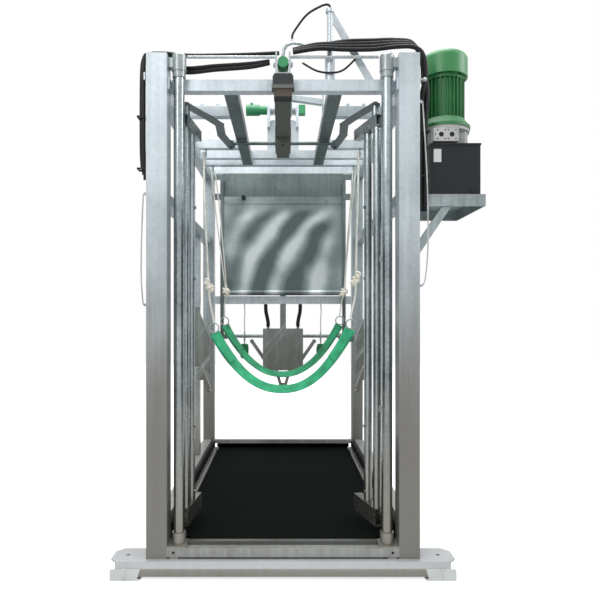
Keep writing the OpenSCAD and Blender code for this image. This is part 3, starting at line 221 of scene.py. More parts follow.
# the rear posts and side rails get a darker copy of the zinc: painted shade
zinc_rear_painted_shade = galvanised("galvanised_rear_posts_painted_shade", "#aab5b9", "#7a868a", "#77766f", roughness=0.36, metallic=0.4)
zinc_dull = galvanised("galvanised_leg_gear", "#939d9a", "#66706e", "#66635b", roughness=0.4)

# the leg gear has slanting scratches down to the bright zinc
scratched = zinc_dull.node_tree
scratch_place = add(scratched, "ShaderNodeTexCoord").outputs["Object"]
slanted = add(scratched, "ShaderNodeMapping", {"vector_type": "TEXTURE"},
              {"Vector": scratch_place, "Rotation": (0, math.radians(38), 0), "Scale": (0.04, 1.0, 0.35)})
strokes = add(scratched, "ShaderNodeTexNoise", None,
              {"Vector": slanted.outputs["Vector"], "Scale": 1.0, "Detail": 2.0})
worn = add(scratched, "ShaderNodeValToRGB", {"stops": [(0.58, 0.0), (0.8, 0.5)]},
           {"Fac": strokes.outputs["Fac"]})
dull_base = scratched.nodes["Principled BSDF"].inputs["Base Color"]
scored = add(scratched, "ShaderNodeMix", {"data_type": "RGBA"},
             {"Factor": worn.outputs["Color"], "A": dull_base.links[0].from_socket, "B": paint("#c3cbc9")})
scratched.links.new(scored.outputs["Result"], dull_base)

# %% [markdown]
# ## The sliding head panel
# This is a large thin sheet. It was rolled flat and then dipped, so it is smoother than the tubes, and slight
# buckles from the heat bend its reflections into long curved bands that lean to the right as they rise. A wave
# along a curved coordinate paints these reflection bands into the colour, as painted reflections, and into the
# relief.

# %% Buckled sheet finish
def buckled_sheet_painted_reflections(name, bright, middle, dark, band_mm=265, lean=0.95, foot=1.3):
    """Zinc sheet with long painted reflection bands that start to lean at foot, a height in metres."""
    finish, tree, shader = start_finish(name, 0.35, 0.34)
    place = add(tree, "ShaderNodeTexCoord").outputs["Object"]
    axes = add(tree, "ShaderNodeSeparateXYZ", None, {"Vector": place})
    rise = add(tree, "ShaderNodeMath", {"operation": "SUBTRACT", "use_clamp": True},
               {0: axes.outputs["Z"], 1: foot})
    curved = add(tree, "ShaderNodeMath", {"operation": "POWER"}, {0: rise.outputs[0], 1: 1.9})
    leaning = add(tree, "ShaderNodeMath", {"operation": "MULTIPLY_ADD"},
                  {0: curved.outputs[0], 1: -lean, 2: axes.outputs["X"]})
    wobble = add(tree, "ShaderNodeTexNoise", None, {"Vector": place, "Scale": 2.2, "Detail": 1.0})
    bent = add(tree, "ShaderNodeMath", {"operation": "MULTIPLY_ADD"},
               {0: wobble.outputs["Fac"], 1: 0.2, 2: leaning.outputs[0]})
    turns = add(tree, "ShaderNodeMath", {"operation": "MULTIPLY"},
                {0: bent.outputs[0], 1: 2000 * math.pi / band_mm})
    wave = add(tree, "ShaderNodeMath", {"operation": "SINE"}, {0: turns.outputs[0]})
    inside = add(tree, "ShaderNodeMapRange", {"interpolation_type": "SMOOTHSTEP"},
                 {"Value": axes.outputs["Z"], "From Min": 1.95, "From Max": 1.84, "To Min": 0.0, "To Max": 1.0})
    breadth = add(tree, "ShaderNodeMath", {"operation": "ABSOLUTE"}, {0: axes.outputs["X"]})
    sides = add(tree, "ShaderNodeMapRange", {"interpolation_type": "SMOOTHSTEP"},
                {"Value": breadth.outputs[0], "From Min": 0.44, "From Max": 0.26, "To Min": 0.0, "To Max": 1.0})
    weight = add(tree, "ShaderNodeMath", {"operation": "MULTIPLY"},
                 {0: inside.outputs["Result"], 1: sides.outputs["Result"]})
    banded = add(tree, "ShaderNodeMath", {"operation": "MULTIPLY"}, {0: wave.outputs[0], 1: weight.outputs[0]})
    clouds = add(tree, "ShaderNodeTexNoise", None,
                 {"Vector": place, "Scale": 2.6, "Detail": 5.0, "Roughness": 0.5})
    # the wave paints the reflection bands into the colour: painted reflections
    tone = add(tree, "ShaderNodeMath", {"operation": "MULTIPLY_ADD"},
               {0: banded.outputs[0], 1: 0.27, 2: clouds.outputs["Fac"]})
    colours = add(tree, "ShaderNodeValToRGB", {"stops": [(0.26, dark), (0.5, middle), (0.74, bright)]},
                  {"Fac": tone.outputs[0]})
    tree.links.new(colours.outputs["Color"], shader.inputs["Base Color"])
    relief = add(tree, "ShaderNodeBump", None,
                 {"Height": banded.outputs[0], "Strength": 0.3, "Distance": 0.004})
    tree.links.new(relief.outputs["Normal"], shader.inputs["Normal"])
    return finish


head_sheet = buckled_sheet_painted_reflections("buckled_zinc_sheet_painted_reflections", "#d3dbdc", "#8f9b9c", "#566263")

# %% [markdown]
# ## Paint, rubber, cast alloy and plastic
# The drive parts are brushed with dark grey-green paint, the motor and the cylinder have green machine enamel,
# and the oil tank is black. Enamel is a plastic skin over metal, so it isn't metallic: a fairly smooth coat
# with an orange-peel ripple of about two millimetres.

# %% Painted and moulded finishes
def coated(name, colour, worn, roughness=0.4, peel_mm=2.0, patch=5.0, strength=0.12, shine=0.5):
    """A paint, rubber, plastic or cast skin in two tones, with a fine ripple."""
    finish, tree, shader = start_finish(name, 0.0, roughness)
    shader.inputs["Specular IOR Level"].default_value = shine
    place = add(tree, "ShaderNodeTexCoord").outputs["Object"]
    patches = add(tree, "ShaderNodeTexNoise", None,
                  {"Vector": place, "Scale": patch, "Detail": 8.0, "Roughness": 0.65})
    colours = add(tree, "ShaderNodeValToRGB", {"stops": [(0.38, colour), (0.72, worn)]},
                  {"Fac": patches.outputs["Fac"]})
    tree.links.new(colours.outputs["Color"], shader.inputs["Base Color"])
    gloss = add(tree, "ShaderNodeMapRange", None,
                {"Value": patches.outputs["Fac"], "From Min": 0.3, "From Max": 0.75,
                 "To Min": roughness, "To Max": min(1.0, roughness + 0.2)})
    tree.links.new(gloss.outputs["Result"], shader.inputs["Roughness"])
    peel = add(tree, "ShaderNodeTexNoise", None, {"Vector": place, "Scale": 1000 / peel_mm, "Detail": 2.0})
    relief = add(tree, "ShaderNodeBump", None,
                 {"Height": peel.outputs["Fac"], "Strength": strength, "Distance": 0.0006})
    tree.links.new(relief.outputs["Normal"], shader.inputs["Normal"])
    return finish


drive_paint = coated("dark_drive_paint", "#4b4f49", "#5e6159", roughness=0.42)
head_paint = coated("dark_head_paint", "#2c2f33", "#43423f", roughness=0.45, shine=0.35)
# the beam head gets bands by height: near black at the foot, brownish below the ridge, a light grey band at the
# ridge that is a painted highlight, and dark grey above
head_bands_painted_ridge_highlight = [(0.0, "#16171a"), (0.12, "#1c1c1e"), (0.14, "#5b5048"), (0.4, "#55493f"),
              (0.42, "#6f7671"), (0.54, "#666c68"), (0.56, "#35383a"), (1.0, "#2e3134")]
height_bands(head_paint, 2.09, 2.21, head_bands_painted_ridge_highlight, 0.9)
link_paint = coated("grey_link_paint", "#5a6266", "#787f7e", roughness=0.4)
green_enamel = coated("green_machine_enamel", "#38824b", "#428f55", roughness=0.34)
fin_enamel = coated("green_fin_enamel", "#2d7340", "#39854a", roughness=0.38)
cylinder_enamel = coated("green_cylinder_enamel", "#278050", "#3d9a66", roughness=0.3)
tank_paint = coated("black_tank_paint", "#1c2022", "#26292c", roughness=0.42, shine=0.3)
foot_paint = coated("white_foot_paint", "#dfe3e3", "#c9cbc6", roughness=0.5)
cast_alloy = coated("cast_alloy", "#c9cbc8", "#a9aca9", roughness=0.45, peel_mm=1.2, strength=0.3)
black_plastic = coated("moulded_black_plastic", "#101214", "#1b1d21", roughness=0.45, shine=0.35)
hose_rubber = coated("hose_rubber", "#0c0d10", "#16181d", roughness=0.45, peel_mm=1.5, patch=9.0, shine=0.3)
floor_rubber = coated("floor_mat_rubber", "#070b0a", "#0d1312", roughness=0.85, peel_mm=6.0, patch=3.0,
                      strength=0.6, shine=0.06)

hard_chrome, chrome_tree, chrome_shader = start_finish("hard_chrome_rod", 1.0, 0.12)
chrome_shader.inputs["Base Color"].default_value = paint("#d9dcde")
brushed = add(chrome_tree, "ShaderNodeTexNoise", None, {"Scale": 400.0})
chrome_relief = add(chrome_tree, "ShaderNodeBump", None,
                    {"Height": brushed.outputs["Fac"], "Strength": 0.05, "Distance": 0.0002})
chrome_tree.links.new(chrome_relief.outputs["Normal"], chrome_shader.inputs["Normal"])

# %% [markdown]
# ## Woven and laid finishes
# The belly belts are polyester webbing, woven in ribs a few millimetres apart, with a slight sheen. The weave
# follows the band, so it reads the band's own UV map, which holds real metres along and across. The ropes get
# their three strands from their shape, and only fibres and soil from their finish.

# %% Webbing and rope finishes
def webbing(name, light, dark):
    """A woven band in two tones."""
    finish, tree, shader = start_finish(name, 0.0, 0.62)
    along = add(tree, "ShaderNodeUVMap", {"uv_map": "lay"}).outputs["UV"]
    ribs = add(tree, "ShaderNodeTexWave", {"wave_type": "BANDS", "bands_direction": "X"},
               {"Vector": along, "Scale": 70.0, "Distortion": 0.4})
    rows = add(tree, "ShaderNodeTexWave", {"wave_type": "BANDS", "bands_direction": "Y"},
               {"Vector": along, "Scale": 35.0, "Distortion": 0.3})
    weave = add(tree, "ShaderNodeMath", {"operation": "MULTIPLY"},
                {0: ribs.outputs["Fac"], 1: rows.outputs["Fac"]})
    place = add(tree, "ShaderNodeTexCoord").outputs["Object"]
    wear = add(tree, "ShaderNodeTexNoise", None, {"Vector": place, "Scale": 14.0, "Detail": 6.0})
    tone = add(tree, "ShaderNodeMath", {"operation": "MULTIPLY_ADD"},
               {0: weave.outputs[0], 1: 0.35, 2: wear.outputs["Fac"]})
    colours = add(tree, "ShaderNodeValToRGB", {"stops": [(0.35, dark), (0.75, light)]},
                  {"Fac": tone.outputs[0]})
    tree.links.new(colours.outputs["Color"], shader.inputs["Base Color"])
    shader.inputs["Sheen Weight"].default_value = 0.15
    relief = add(tree, "ShaderNodeBump", None,
                 {"Height": weave.outputs[0], "Strength": 0.4, "Distance": 0.0008})
    tree.links.new(relief.outputs["Normal"], shader.inputs["Normal"])
    return finish


belt_weave = webbing("green_webbing", "#2bc288", "#14885a")
far_weave = webbing("green_webbing_shaded", "#27ab76", "#117049")
cuff_weave = webbing("green_cuff_webbing", "#118a4c", "#07552d")


def laid_rope(name, light, dark):
    """Rope fibre in two tones, with soil."""
    finish, tree, shader = start_finish(name, 0.0, 0.8)
    place = add(tree, "ShaderNodeTexCoord").outputs["Object"]
    fibres = add(tree, "ShaderNodeTexNoise", None, {"Vector": place, "Scale": 240.0, "Detail": 4.0})
    soil = add(tree, "ShaderNodeTexNoise", None, {"Vector": place, "Scale": 11.0, "Detail": 4.0})
    tone = add(tree, "ShaderNodeMath", {"operation": "MULTIPLY_ADD"},
               {0: fibres.outputs["Fac"], 1: 0.4, 2: soil.outputs["Fac"]})
    colours = add(tree, "ShaderNodeValToRGB", {"stops": [(0.45, dark), (0.8, light)]},
                  {"Fac": tone.outputs[0]})
    tree.links.new(colours.outputs["Color"], shader.inputs["Base Color"])
    shader.inputs["Sheen Weight"].default_value = 0.1
    relief = add(tree, "ShaderNodeBump", None,
                 {"Height": fibres.outputs["Fac"], "Strength": 0.5, "Distance": 0.0006})
    tree.links.new(relief.outputs["Normal"], shader.inputs["Normal"])
    return finish


pale_rope = laid_rope("laid_rope", "#f0f1ea", "#c3c5b8")
knot_rope = laid_rope("knotted_rope", "#f4f1e4", "#cfc6ad")
cord_rope = laid_rope("thin_cord", "#cfd2ce", "#a5a8a2")

# %% [markdown]
# ## Finishes on the steelwork
# Each CAD node keeps its mesh and gets the finish that the real part has.

# %% Dress the CAD nodes
dressing = {
    zinc_post: ["front_post_left", "front_post_right"],
    zinc_beam: ["front_base_beam", "rear_base_beam"],
    zinc_caps: ["gate_caps"],
    zinc_base: ["threshold_rail", "floor_rails", "floor_tray"],
    zinc_rear_painted_shade: ["rear_post_left", "rear_post_right", "side_rails"],
    zinc_tube: ["breast_pipe", "mat_strips", "shelf", "oil_pump", "motor_rotor"],
    zinc_gate: ["gate_left", "gate_right", "stanchions"],
    zinc_roof: ["front_crossbar", "roof_ties", "far_beams", "beam_hanger", "winch_plate", "hose_mast"],
    zinc_shaded: ["roof_beams", "guide_frame", "cross_rod"],
    zinc_bright: ["gate_seats", "cylinder_mount", "steel_fittings", "belt_winch"],
    head_sheet: ["sliding_panel"],
    zinc_dull: ["leg_lift", "leg_arm_left", "leg_arm_right", "leg_rests_l", "leg_rests_r"],
    foot_paint: ["foot_shoes"],
    drive_paint: ["middle_beam", "gate_trolley"],
    head_paint: ["beam_head"],
    link_paint: ["link_left", "link_right"],
    cylinder_enamel: ["gate_cylinder", "winch_drive"],
    fin_enamel: ["motor_housing"],
    green_enamel: ["fan_cowl", "terminal_box"],
    tank_paint: ["tank"],
    cast_alloy: ["valve_block", "pump_adapter"],
    hard_chrome: ["piston_rod"],
    floor_rubber: ["mat_and_skirts"],
    hose_rubber: ["frame_hoses"],
    black_plastic: ["panel_knob", "black_fittings"],
}
for finish, names in dressing.items():
    for name in names:
        mesh = nodes[name].data
        mesh.materials.clear()
        mesh.materials.append(finish)
print(sum(len(n) for n in dressing.values()), "nodes dressed")

# %% [markdown]
# ## A tube along a route
# Hoses and ropes are round all along and bend in smooth curves. A grid operator gives the mesh: one way
# runs along the route and the other way goes round it. A frame carried along the route without twist keeps
# the tube from pinching. For a laid rope the radius swells three times round, and the swelling turns as it
# goes, which makes the three strands.

# %% Tube helper
def smooth_route(points, step_mm, closed=False):
    """Points on a smooth curve through given points, about one step apart, in metres."""
    places = [Vector(p) * MM for p in points]
    count = len(places)
    route = []
    for i in range(count if closed else count - 1):
        if closed:
            a, b, c, d = (places[(i + k - 1) % count] for k in range(4))
        else:
            a, b = places[max(i - 1, 0)], places[i]
            c, d = places[i + 1], places[min(i + 2, count - 1)]
        pieces = max(2, round((c - b).length / (step_mm * MM)))
        for k in range(pieces):
            t = k / pieces
            route.append(0.5 * ((2 * b) + (c - a) * t + (2 * a - 5 * b + 4 * c - d) * t * t
                                + (3 * b - a - 3 * c + d) * t ** 3))
    if not closed:
        route.append(places[-1])
    return route


def tube(route, diameter_mm, sides=14, strands=0, lay_mm=40, closed=False):
    """A bmesh tube along a route, with real metres in its UV map."""
    shape = bmesh.new()
    rings = len(route) + (1 if closed else 0)
    bmesh.ops.create_grid(shape, x_segments=rings - 1, y_segments=sides, size=0.5)
    shape.verts.ensure_lookup_table()
    lay = shape.loops.layers.uv.new("lay")
    count = len(route)
    along = [0.0]
    tangents = []
    for i in range(count):
        ahead = route[(i + 1) % count] if closed else route[min(i + 1, count - 1)]
        behind = route[i - 1] if closed else route[max(i - 1, 0)]
        tangents.append((ahead - behind).normalized())
    side = tangents[0].orthogonal().normalized()
    sidings = []
    for i, tangent in enumerate(tangents):
        side = (side - tangent * side.dot(tangent)).normalized()
        sidings.append(side.copy())
        if i:
            along.append(along[-1] + (route[i] - route[i - 1]).length)
    along.append(along[-1] + (route[0] - route[-1]).length)
    turned = 0.0
    if closed:
        back = (side - tangents[0] * side.dot(tangents[0])).normalized()
        turned = math.atan2(sidings[0].cross(back).dot(tangents[0]), sidings[0].dot(back))
    spot = {}
    for vert in shape.verts:
        i = round((vert.co.x + 0.5) * (rings - 1))
        j = round((vert.co.y + 0.5) * sides)
        angle = 2 * math.pi * j / sides - turned * i / (rings - 1)
        radius = diameter_mm * MM / 2
        if strands:
            phase = strands * (angle + 2 * math.pi * along[i] / (lay_mm * MM)) / 2
            radius *= 0.8 + 0.2 * abs(math.cos(phase)) ** 0.6
        k = i % count
        spread = sidings[k] * math.cos(angle) + tangents[k].cross(sidings[k]) * math.sin(angle)
        spot[vert] = (along[i], j / sides)
        vert.co = route[k] + spread * radius
    for face in shape.faces:
        for loop in face.loops:
            loop[lay].uv = spot[loop.vert]
    bmesh.ops.remove_doubles(shape, verts=shape.verts, dist=1e-6)
    rims = [e for e in shape.edges if e.is_boundary]
    if rims:
        bmesh.ops.holes_fill(shape, edges=rims, sides=0)
    bmesh.ops.recalc_face_normals(shape, faces=shape.faces)
    return shape


def strand(name, points, diameter_mm, finish, step_mm=12, **shape):
    """A tube that rides on the frame, and the route that it follows."""
    route = smooth_route(points, step_mm)
    return keep(name, tube(route, diameter_mm, **shape), finish), route


# %% [markdown]
# ## Ropes, rings and knots
# A 13 mm rope drops from an eye under each outer roof tie to a steel ring on the near belt, and thinner
# ropes hold the far belt. Each is knotted on itself, 0.2 to 0.3 m above its ring. A knot could be a ball, but a
# short rope wound as a trefoil shows its crossings.

# %% Rope helpers
def setback(depth_mm):
    """The y of a depth behind the entrance, in millimetres."""
    return entrance_mm + depth_mm


near_belt_y, far_belt_y = setback(880), setback(1400)


def hang(name, points, diameter_mm, finish, with_pieces=(), **shape):
    """A rope from its exit to its far end, as a tube that rides on the frame."""
    piece, route = strand(name, points, diameter_mm, finish, **shape)
    return piece


def knot(name, centre, size_mm, turn, diameter_mm):
    """A rope knot: a trefoil, drawn together and turned."""
    spin = Matrix.Rotation(math.radians(turn), 3, "Y") @ Matrix.Rotation(math.radians(turn * 1.7), 3, "X")
    loop = []
    for i in range(26):
        t = 2 * math.pi * i / 26
        point = Vector((math.sin(t) + 2 * math.sin(2 * t), math.cos(t) - 2 * math.cos(2 * t),
                        -1.3 * math.sin(3 * t)))
        loop.append(Vector(centre) + spin @ point * (size_mm / 6))
    route = smooth_route(loop, 5, closed=True)
    piece = keep(name, tube(route, diameter_mm, sides=12, strands=3, lay_mm=32, closed=True), knot_rope)
    return piece


def steel_ring(name, centre, radius_mm, wire_mm, across="Y"):
    """A closed ring of round bar; across is the axis, X or Y, that it is square to."""
    shape = bmesh.new()
    outward = Matrix.Translation((radius_mm * MM, 0, 0))
    bmesh.ops.create_circle(shape, segments=14, radius=wire_mm / 2 * MM,
                            matrix=outward @ Matrix.Rotation(math.pi / 2, 4, "X"))
    bmesh.ops.spin(shape, geom=shape.verts[:] + shape.edges[:], cent=(0, 0, 0), axis=(0, 0, 1),
                   angle=2 * math.pi, steps=40, use_merge=True)
    turn = Matrix.Rotation(math.pi / 2, 3, "X" if across == "Y" else "Y")
    bmesh.ops.rotate(shape, verts=shape.verts, matrix=turn)
    bmesh.ops.translate(shape, verts=shape.verts, vec=Vector(centre) * MM)
    bmesh.ops.recalc_face_normals(shape, faces=shape.faces)
    piece = keep(name, shape, zinc_bright)
    return piece


# %% Belt ropes
rope_pieces = []
knots = {"near_left": [(-441, near_belt_y + 25, 1306), (-452, near_belt_y + 20, 1334),
                       (-428, near_belt_y + 20, 1290)],
         "near_right": [(432, near_belt_y + 25, 1346), (444, near_belt_y + 20, 1374),
                        (420, near_belt_y + 18, 1330)],
         "far_left": [(-392, far_belt_y - 8, 1300), (-378, far_belt_y - 14, 1288)],
         "far_right": [(418, far_belt_y - 8, 1296), (404, far_belt_y - 14, 1276)]}
knot_pieces = {}
for place, centres in knots.items():
    knot_pieces[place] = [knot(f"knot_{place}_{i}", c, 40 - 4 * i, 25 + 70 * i, 16)
                          for i, c in enumerate(centres)]
    rope_pieces += knot_pieces[place]
rope_pieces.append(hang("rope_near_left", [
    (-481.2, setback(984), 2128), (-481.2, setback(976), 2100), (-478, setback(960), 1990),
    (-468, setback(935), 1760), (-456, setback(915), 1540), (-444, setback(905), 1330),
    (-436, setback(900), 1230), (-416, setback(892), 1130),
    (-409, near_belt_y, 1089)], 13, pale_rope, step_mm=5, sides=18, strands=3, lay_mm=42,
    with_pieces=knot_pieces["near_left"]))
rope_pieces.append(hang("rope_near_right", [
    (458.8, setback(982), 2128), (458.8, setback(976), 2100), (452, setback(950), 1900),
    (441, setback(920), 1600), (434, setback(905), 1370), (428, setback(898), 1250),
    (404, setback(886), 1142), (402, near_belt_y, 1111)],
    13, pale_rope, step_mm=5, sides=18, strands=3, lay_mm=42, with_pieces=knot_pieces["near_right"]))
far_routes = {
    "far_left_outer": [(-484.3, setback(1360), 2112), (-474, setback(1362), 2000), (-440, setback(1376), 1700),
                       (-404, setback(1388), 1400), (-392, setback(1392), 1300), (-398, setback(1396), 1200),
                       (-399, far_belt_y, 1122)],
    "far_left_inner": [(-462, setback(1360), 2112), (-440, setback(1364), 1950), (-412, setback(1376), 1650),
                       (-392, setback(1388), 1400), (-384, setback(1392), 1316)],
    "far_right_inner": [(472.4, setback(1360), 2112), (462, setback(1364), 1950), (438, setback(1376), 1650),
                        (424, setback(1388), 1400), (416, setback(1392), 1300), (394, setback(1398), 1190),
                        (388, far_belt_y, 1126)],
    "far_right_outer": [(491.6, setback(1360), 2112), (478, setback(1362), 1980), (452, setback(1376), 1720),
                        (430, setback(1388), 1450), (424, setback(1392), 1316)]}
for name, points in far_routes.items():
    rope_pieces.append(hang("rope_" + name, points, 9, pale_rope, step_mm=6, sides=12, strands=3, lay_mm=30))
for i, (x, y, z) in enumerate([(-408, near_belt_y, 1061.4), (401, near_belt_y, 1083.4),
                               (-399, far_belt_y, 1093.6), (388, far_belt_y, 1097)]):
    rope_pieces.append(steel_ring(f"belt_ring_{i}", (x, y, z), 28, 8, across="Y"))
print(len(rope_pieces), "rope pieces")

# %% Cuff ropes and the cords outside the posts
rear_y = 835
cuff_y = rear_y + 46
for side, x in (("left", -290), ("right", 284)):
    rope_pieces.append(hang(f"cuff_rope_{side}", [
        (x, rear_y + 30, 1214), (x + 3, rear_y + 32, 1150), (x - 1, rear_y + 40, 1080), (x + 1, cuff_y, 1012)],
        9, pale_rope, step_mm=6, sides=12, strands=3, lay_mm=30))
    rope_pieces.append(steel_ring(f"cuff_ring_{side}", (x, cuff_y, 966), 46, 7, across="X"))
post_x = 596
rope_pieces.append(hang("cord_outside_left", [
    (-post_x - 15, setback(14), 1672), (-post_x - 20, setback(14), 1560), (-post_x - 24, setback(14), 1420),
    (-post_x - 24, setback(14), 1300), (-post_x - 18, setback(14), 1210), (-post_x - 15, setback(14), 1186)],
    6, cord_rope, sides=10))
rope_pieces.append(hang("cord_outside_right", [
    (post_x + 15, setback(14), 2074), (post_x + 26, setback(14), 1900), (post_x + 34, setback(14), 1750),
    (post_x + 38, setback(14), 1600), (post_x + 38, setback(14), 1440), (post_x + 28, setback(14), 1310),
    (post_x + 15, setback(14), 1270)], 6, cord_rope, sides=10))

# %% Lift hoses
for side, sign in (("left", -1), ("right", 1)):
    hose, route = strand(f"lift_hose_{side}", [
        (130 * sign, rear_y + 26, 1214), (128 * sign, rear_y + 26, 1160), (118 * sign, rear_y + 26, 1112),
        (112 * sign, rear_y + 26, 1076), (112 * sign, rear_y + 26, 1046.3)],
        28, hose_rubber, sides=20)
    rope_pieces.append(hose)
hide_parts("ropes")

# %% [markdown]
# ## Hydraulic hoses
# A bundle of 19 mm hoses runs from the cylinder along the crossbar and down the right post, and 15 mm
# hoses go on down the left post. Rubber hose is stiff, so it leaves a fitting straight and bends in wide
# arcs. The routes are those of the CAD hoses, drawn smooth.

# %% Hoses on the frame
hose_routes = {}
top_z = 2285
for i in range(2):
    hose_routes[f"hose_front_{i}"] = ([
        (-566, setback(66 + 22 * i), top_z + 12), (-500, setback(74 + 22 * i), top_z + 16),
        (-450, setback(104), 2262 - 18 * i), (-300, setback(94), 2266 - 16 * i),
        (-150, setback(90), 2274 - 14 * i), (-60, setback(86), 2284 - 8 * i)], 19)
hose_routes["hose_front_2"] = ([
    (-576, setback(40), top_z + 12), (-520, setback(60), 2306), (-420, setback(84), 2308),
    (-200, setback(86), 2312), (-60, setback(90), 2320), (-18, setback(93), 2324)], 19)
for i in range(3):
    y = 26 + 12.1 * i
    hose_routes[f"hose_left_{i}"] = ([
        (-572, setback((40, 66, 88)[i]), top_z + 12), (-603 - 5 * i, setback(38 + 17 * i), top_z + 8 + 2 * i),
        (-611 - 9 * i, setback(34 + 18 * i), top_z - 14), (-611 - 9 * i, setback(y), 2150),
        (-611 - 9 * i, setback(y), 1880), (-606 - 9 * i, setback(y), 1736 + 26 * i)], 15)
for i in range(4):
    x, y = 608 + 20 * (i % 2), 36 if i < 2 else 58
    side_drop = [(x + 10, setback(y), 2120), (x + 2, setback(y), 1980), (x, setback(y), 1760),
                 (x, setback(y), 1600 if i < 2 else 1692)]
    across = [
        (44, setback(56 + i * 7), 2310 + i * 9), (156, setback(50 + i * 5.5), 2324 + i * 12),
        (280, setback(54 + i * 4), 2322 + i * 14), (400, setback(52 + i * 6), 2322 + i * 16),
        (500, setback(50 + i * 8), 2332 + i * 14), (580, setback(44 + i * 12), 2328 + i * 12),
        (620, setback(38 + i * 14), 2290), (632, setback(38 + i * 14), 2200)]
    if i == 3:
        across = [
            (118.5, setback(88), 2350), (131, setback(87), 2344), (164, setback(77), 2350),
            (280, setback(66), 2364), (400, setback(70), 2370), (500, setback(74), 2374),
            (580, setback(80), 2364), (620, setback(80), 2290), (632, setback(80), 2200)]
    hose_routes[f"hose_right_{i}"] = (across + side_drop, 19)
hose_routes["mast_hose_over"] = ([
    (42, setback(93), 2386.3), (42, setback(93), 2404), (58, setback(94), 2434), (110, setback(94), 2500),
    (178, setback(95), 2540), (205, setback(98), 2545), (212, setback(99), 2537),
    (212, setback(99), 2524.3)], 10)
hose_routes["mast_hose_under"] = ([
    (90, setback(118), 2290), (150, setback(78), 2238), (212, setback(71.7), 2226),
    (270, setback(76), 2240), (330, setback(78), 2296)], 9)
for name, (points, width) in hose_routes.items():
    piece, route = strand(name, points, width, hose_rubber, step_mm=14, sides=16)
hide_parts("frame_hoses")

# %% [markdown]
# ## Small things on the power pack
# The tank has a bare pale label, and the valve block has bolt holes round its two ports, drawn as thin black
# discs of painted shade.

# %% Label and bolt holes
label_film = coated("bare_label", "#dfe1e2", "#d3d6d7", roughness=0.5)
label = bmesh.new()
bmesh.ops.create_cube(label, size=1.0)
bmesh.ops.scale(label, verts=label.verts, vec=(0.034, 0.0008, 0.058))
bmesh.ops.translate(label, verts=label.verts, vec=Vector((689, setback(62) - 0.5, 1853)) * MM)
keep("tank_label", label, label_film, smooth=False)
# thin black discs stand in for the bolt holes: painted shade
holes = bmesh.new()
for x, z in [(x + dx, 1949 + dz) for x in (707, 755) for dx in (-17, 17) for dz in (-20, 20)] + [(680, 1949)]:
    bmesh.ops.create_cone(holes, cap_ends=True, segments=16, radius1=0.003, radius2=0.003, depth=0.0008,
                          matrix=Matrix.Translation(Vector((x, setback(64) - 0.4, z)) * MM)
                          @ Matrix.Rotation(math.pi / 2, 4, "X"))
keep("valve_bolt_holes_painted_shade", holes, black_plastic, smooth=False)

# %% [markdown]
# ## Belly belts
# Two bands of webbing, 88 and 76 mm wide, hang where the belly comes, front edge lower than the back edge.
# A slack band would hang as a catenary, but these sag more like a rounded trough, so the height is a power of
# the distance from the middle. A grid operator makes the band, and each of its vertices is put on that curve.

# %% Belts
def belt_point(u, d, xl, xr, zl, zr, low):
    """A point of the belt's centre line at u from 0 to 1, in millimetres."""
    x = xl + (xr - xl) * (0.5 - 0.5 * math.cos(math.pi * u))
    v = (x - (xl + xr) / 2) / ((xr - xl) / 2)
    return Vector((x, setback(d), low + ((zl if x < 0 else zr) - low) * abs(v) ** 2.2))


def band(name, spec, width_mm, finish, start=0.0, stop=1.0, lift_mm=0.0, waves=1.0):
    """A band of webbing along the belt's curve, from start to stop of it."""
    steps, across = 96, 8
    shape = bmesh.new()
    bmesh.ops.create_grid(shape, x_segments=steps, y_segments=across, size=0.5)
    lay = shape.loops.layers.uv.new("lay")
    lengths = [0.0]
    centres = [belt_point(start + (stop - start) * i / steps, *spec) for i in range(steps + 1)]
    for a, b in zip(centres, centres[1:]):
        lengths.append(lengths[-1] + (b - a).length)
    spot = {}
    for vert in shape.verts:
        i = round((vert.co.x + 0.5) * steps)
        v = vert.co.y
        u = start + (stop - start) * i / steps
        along = (centres[min(i + 1, steps)] - centres[max(i - 1, 0)]).normalized()
        tilt = math.radians(24 + 14 * abs(2 * u - 1) ** 1.5)
        normal = Vector((0, 1, 0)).cross(along).normalized()
        normal = normal if normal.z > 0 else -normal
        sideways = Vector((0, math.cos(tilt), 0)) + normal * math.sin(tilt)
        outward = normal * math.cos(tilt) - Vector((0, math.sin(tilt), 0))
        ripple = waves * noise.noise(Vector((u * 7, v * 1.5, width_mm))) * 3 + 5 * (0.25 - v * v) * waves
        spot[vert] = (lengths[i] * MM, v * width_mm * MM)
        vert.co = (centres[i] + sideways * v * width_mm + outward * (lift_mm - ripple)) * MM
    for face in shape.faces:
        for loop in face.loops:
            loop[lay].uv = spot[loop.vert]
    bmesh.ops.recalc_face_normals(shape, faces=shape.faces)
    piece = keep(name, shape, finish)
    thick = piece.modifiers.new("webbing_thickness", "SOLIDIFY")
    thick.thickness = 0.0035
    thick.offset = 0
    return piece, lengths[-1] * MM


near_spec = (880, -405, 398, 1030, 1052, 700)
far_spec = (1400, -396, 384, 1062, 1066, 731)
tail_share = 0.94
for name, spec, width, finish, holders in (
        ("belly_belt_near", near_spec, 88, belt_weave, ["belt_ring_0", "belt_ring_1"]),
        ("belly_belt_far", far_spec, 76, far_weave, ["belt_ring_2", "belt_ring_3"])):
    belt, length = band(name, spec, width, finish)
    for end, (start, stop) in (("left", (0.0, 0.24)), ("right", (0.76, 1.0))):
        tail, tail_length = band(f"{name}_tail_{end}", spec, width * tail_share, finish, start, stop,
                                 lift_mm=5, waves=0.6)
    print(name, round(length, 3), "m")
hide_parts("belly_belts")

# %% [markdown]
# ## Leg cuffs
# Two padded cuffs of dark green webbing hang from rings by the breast pipe. Each is a crowned pad with a
# smaller flap lying on its front.

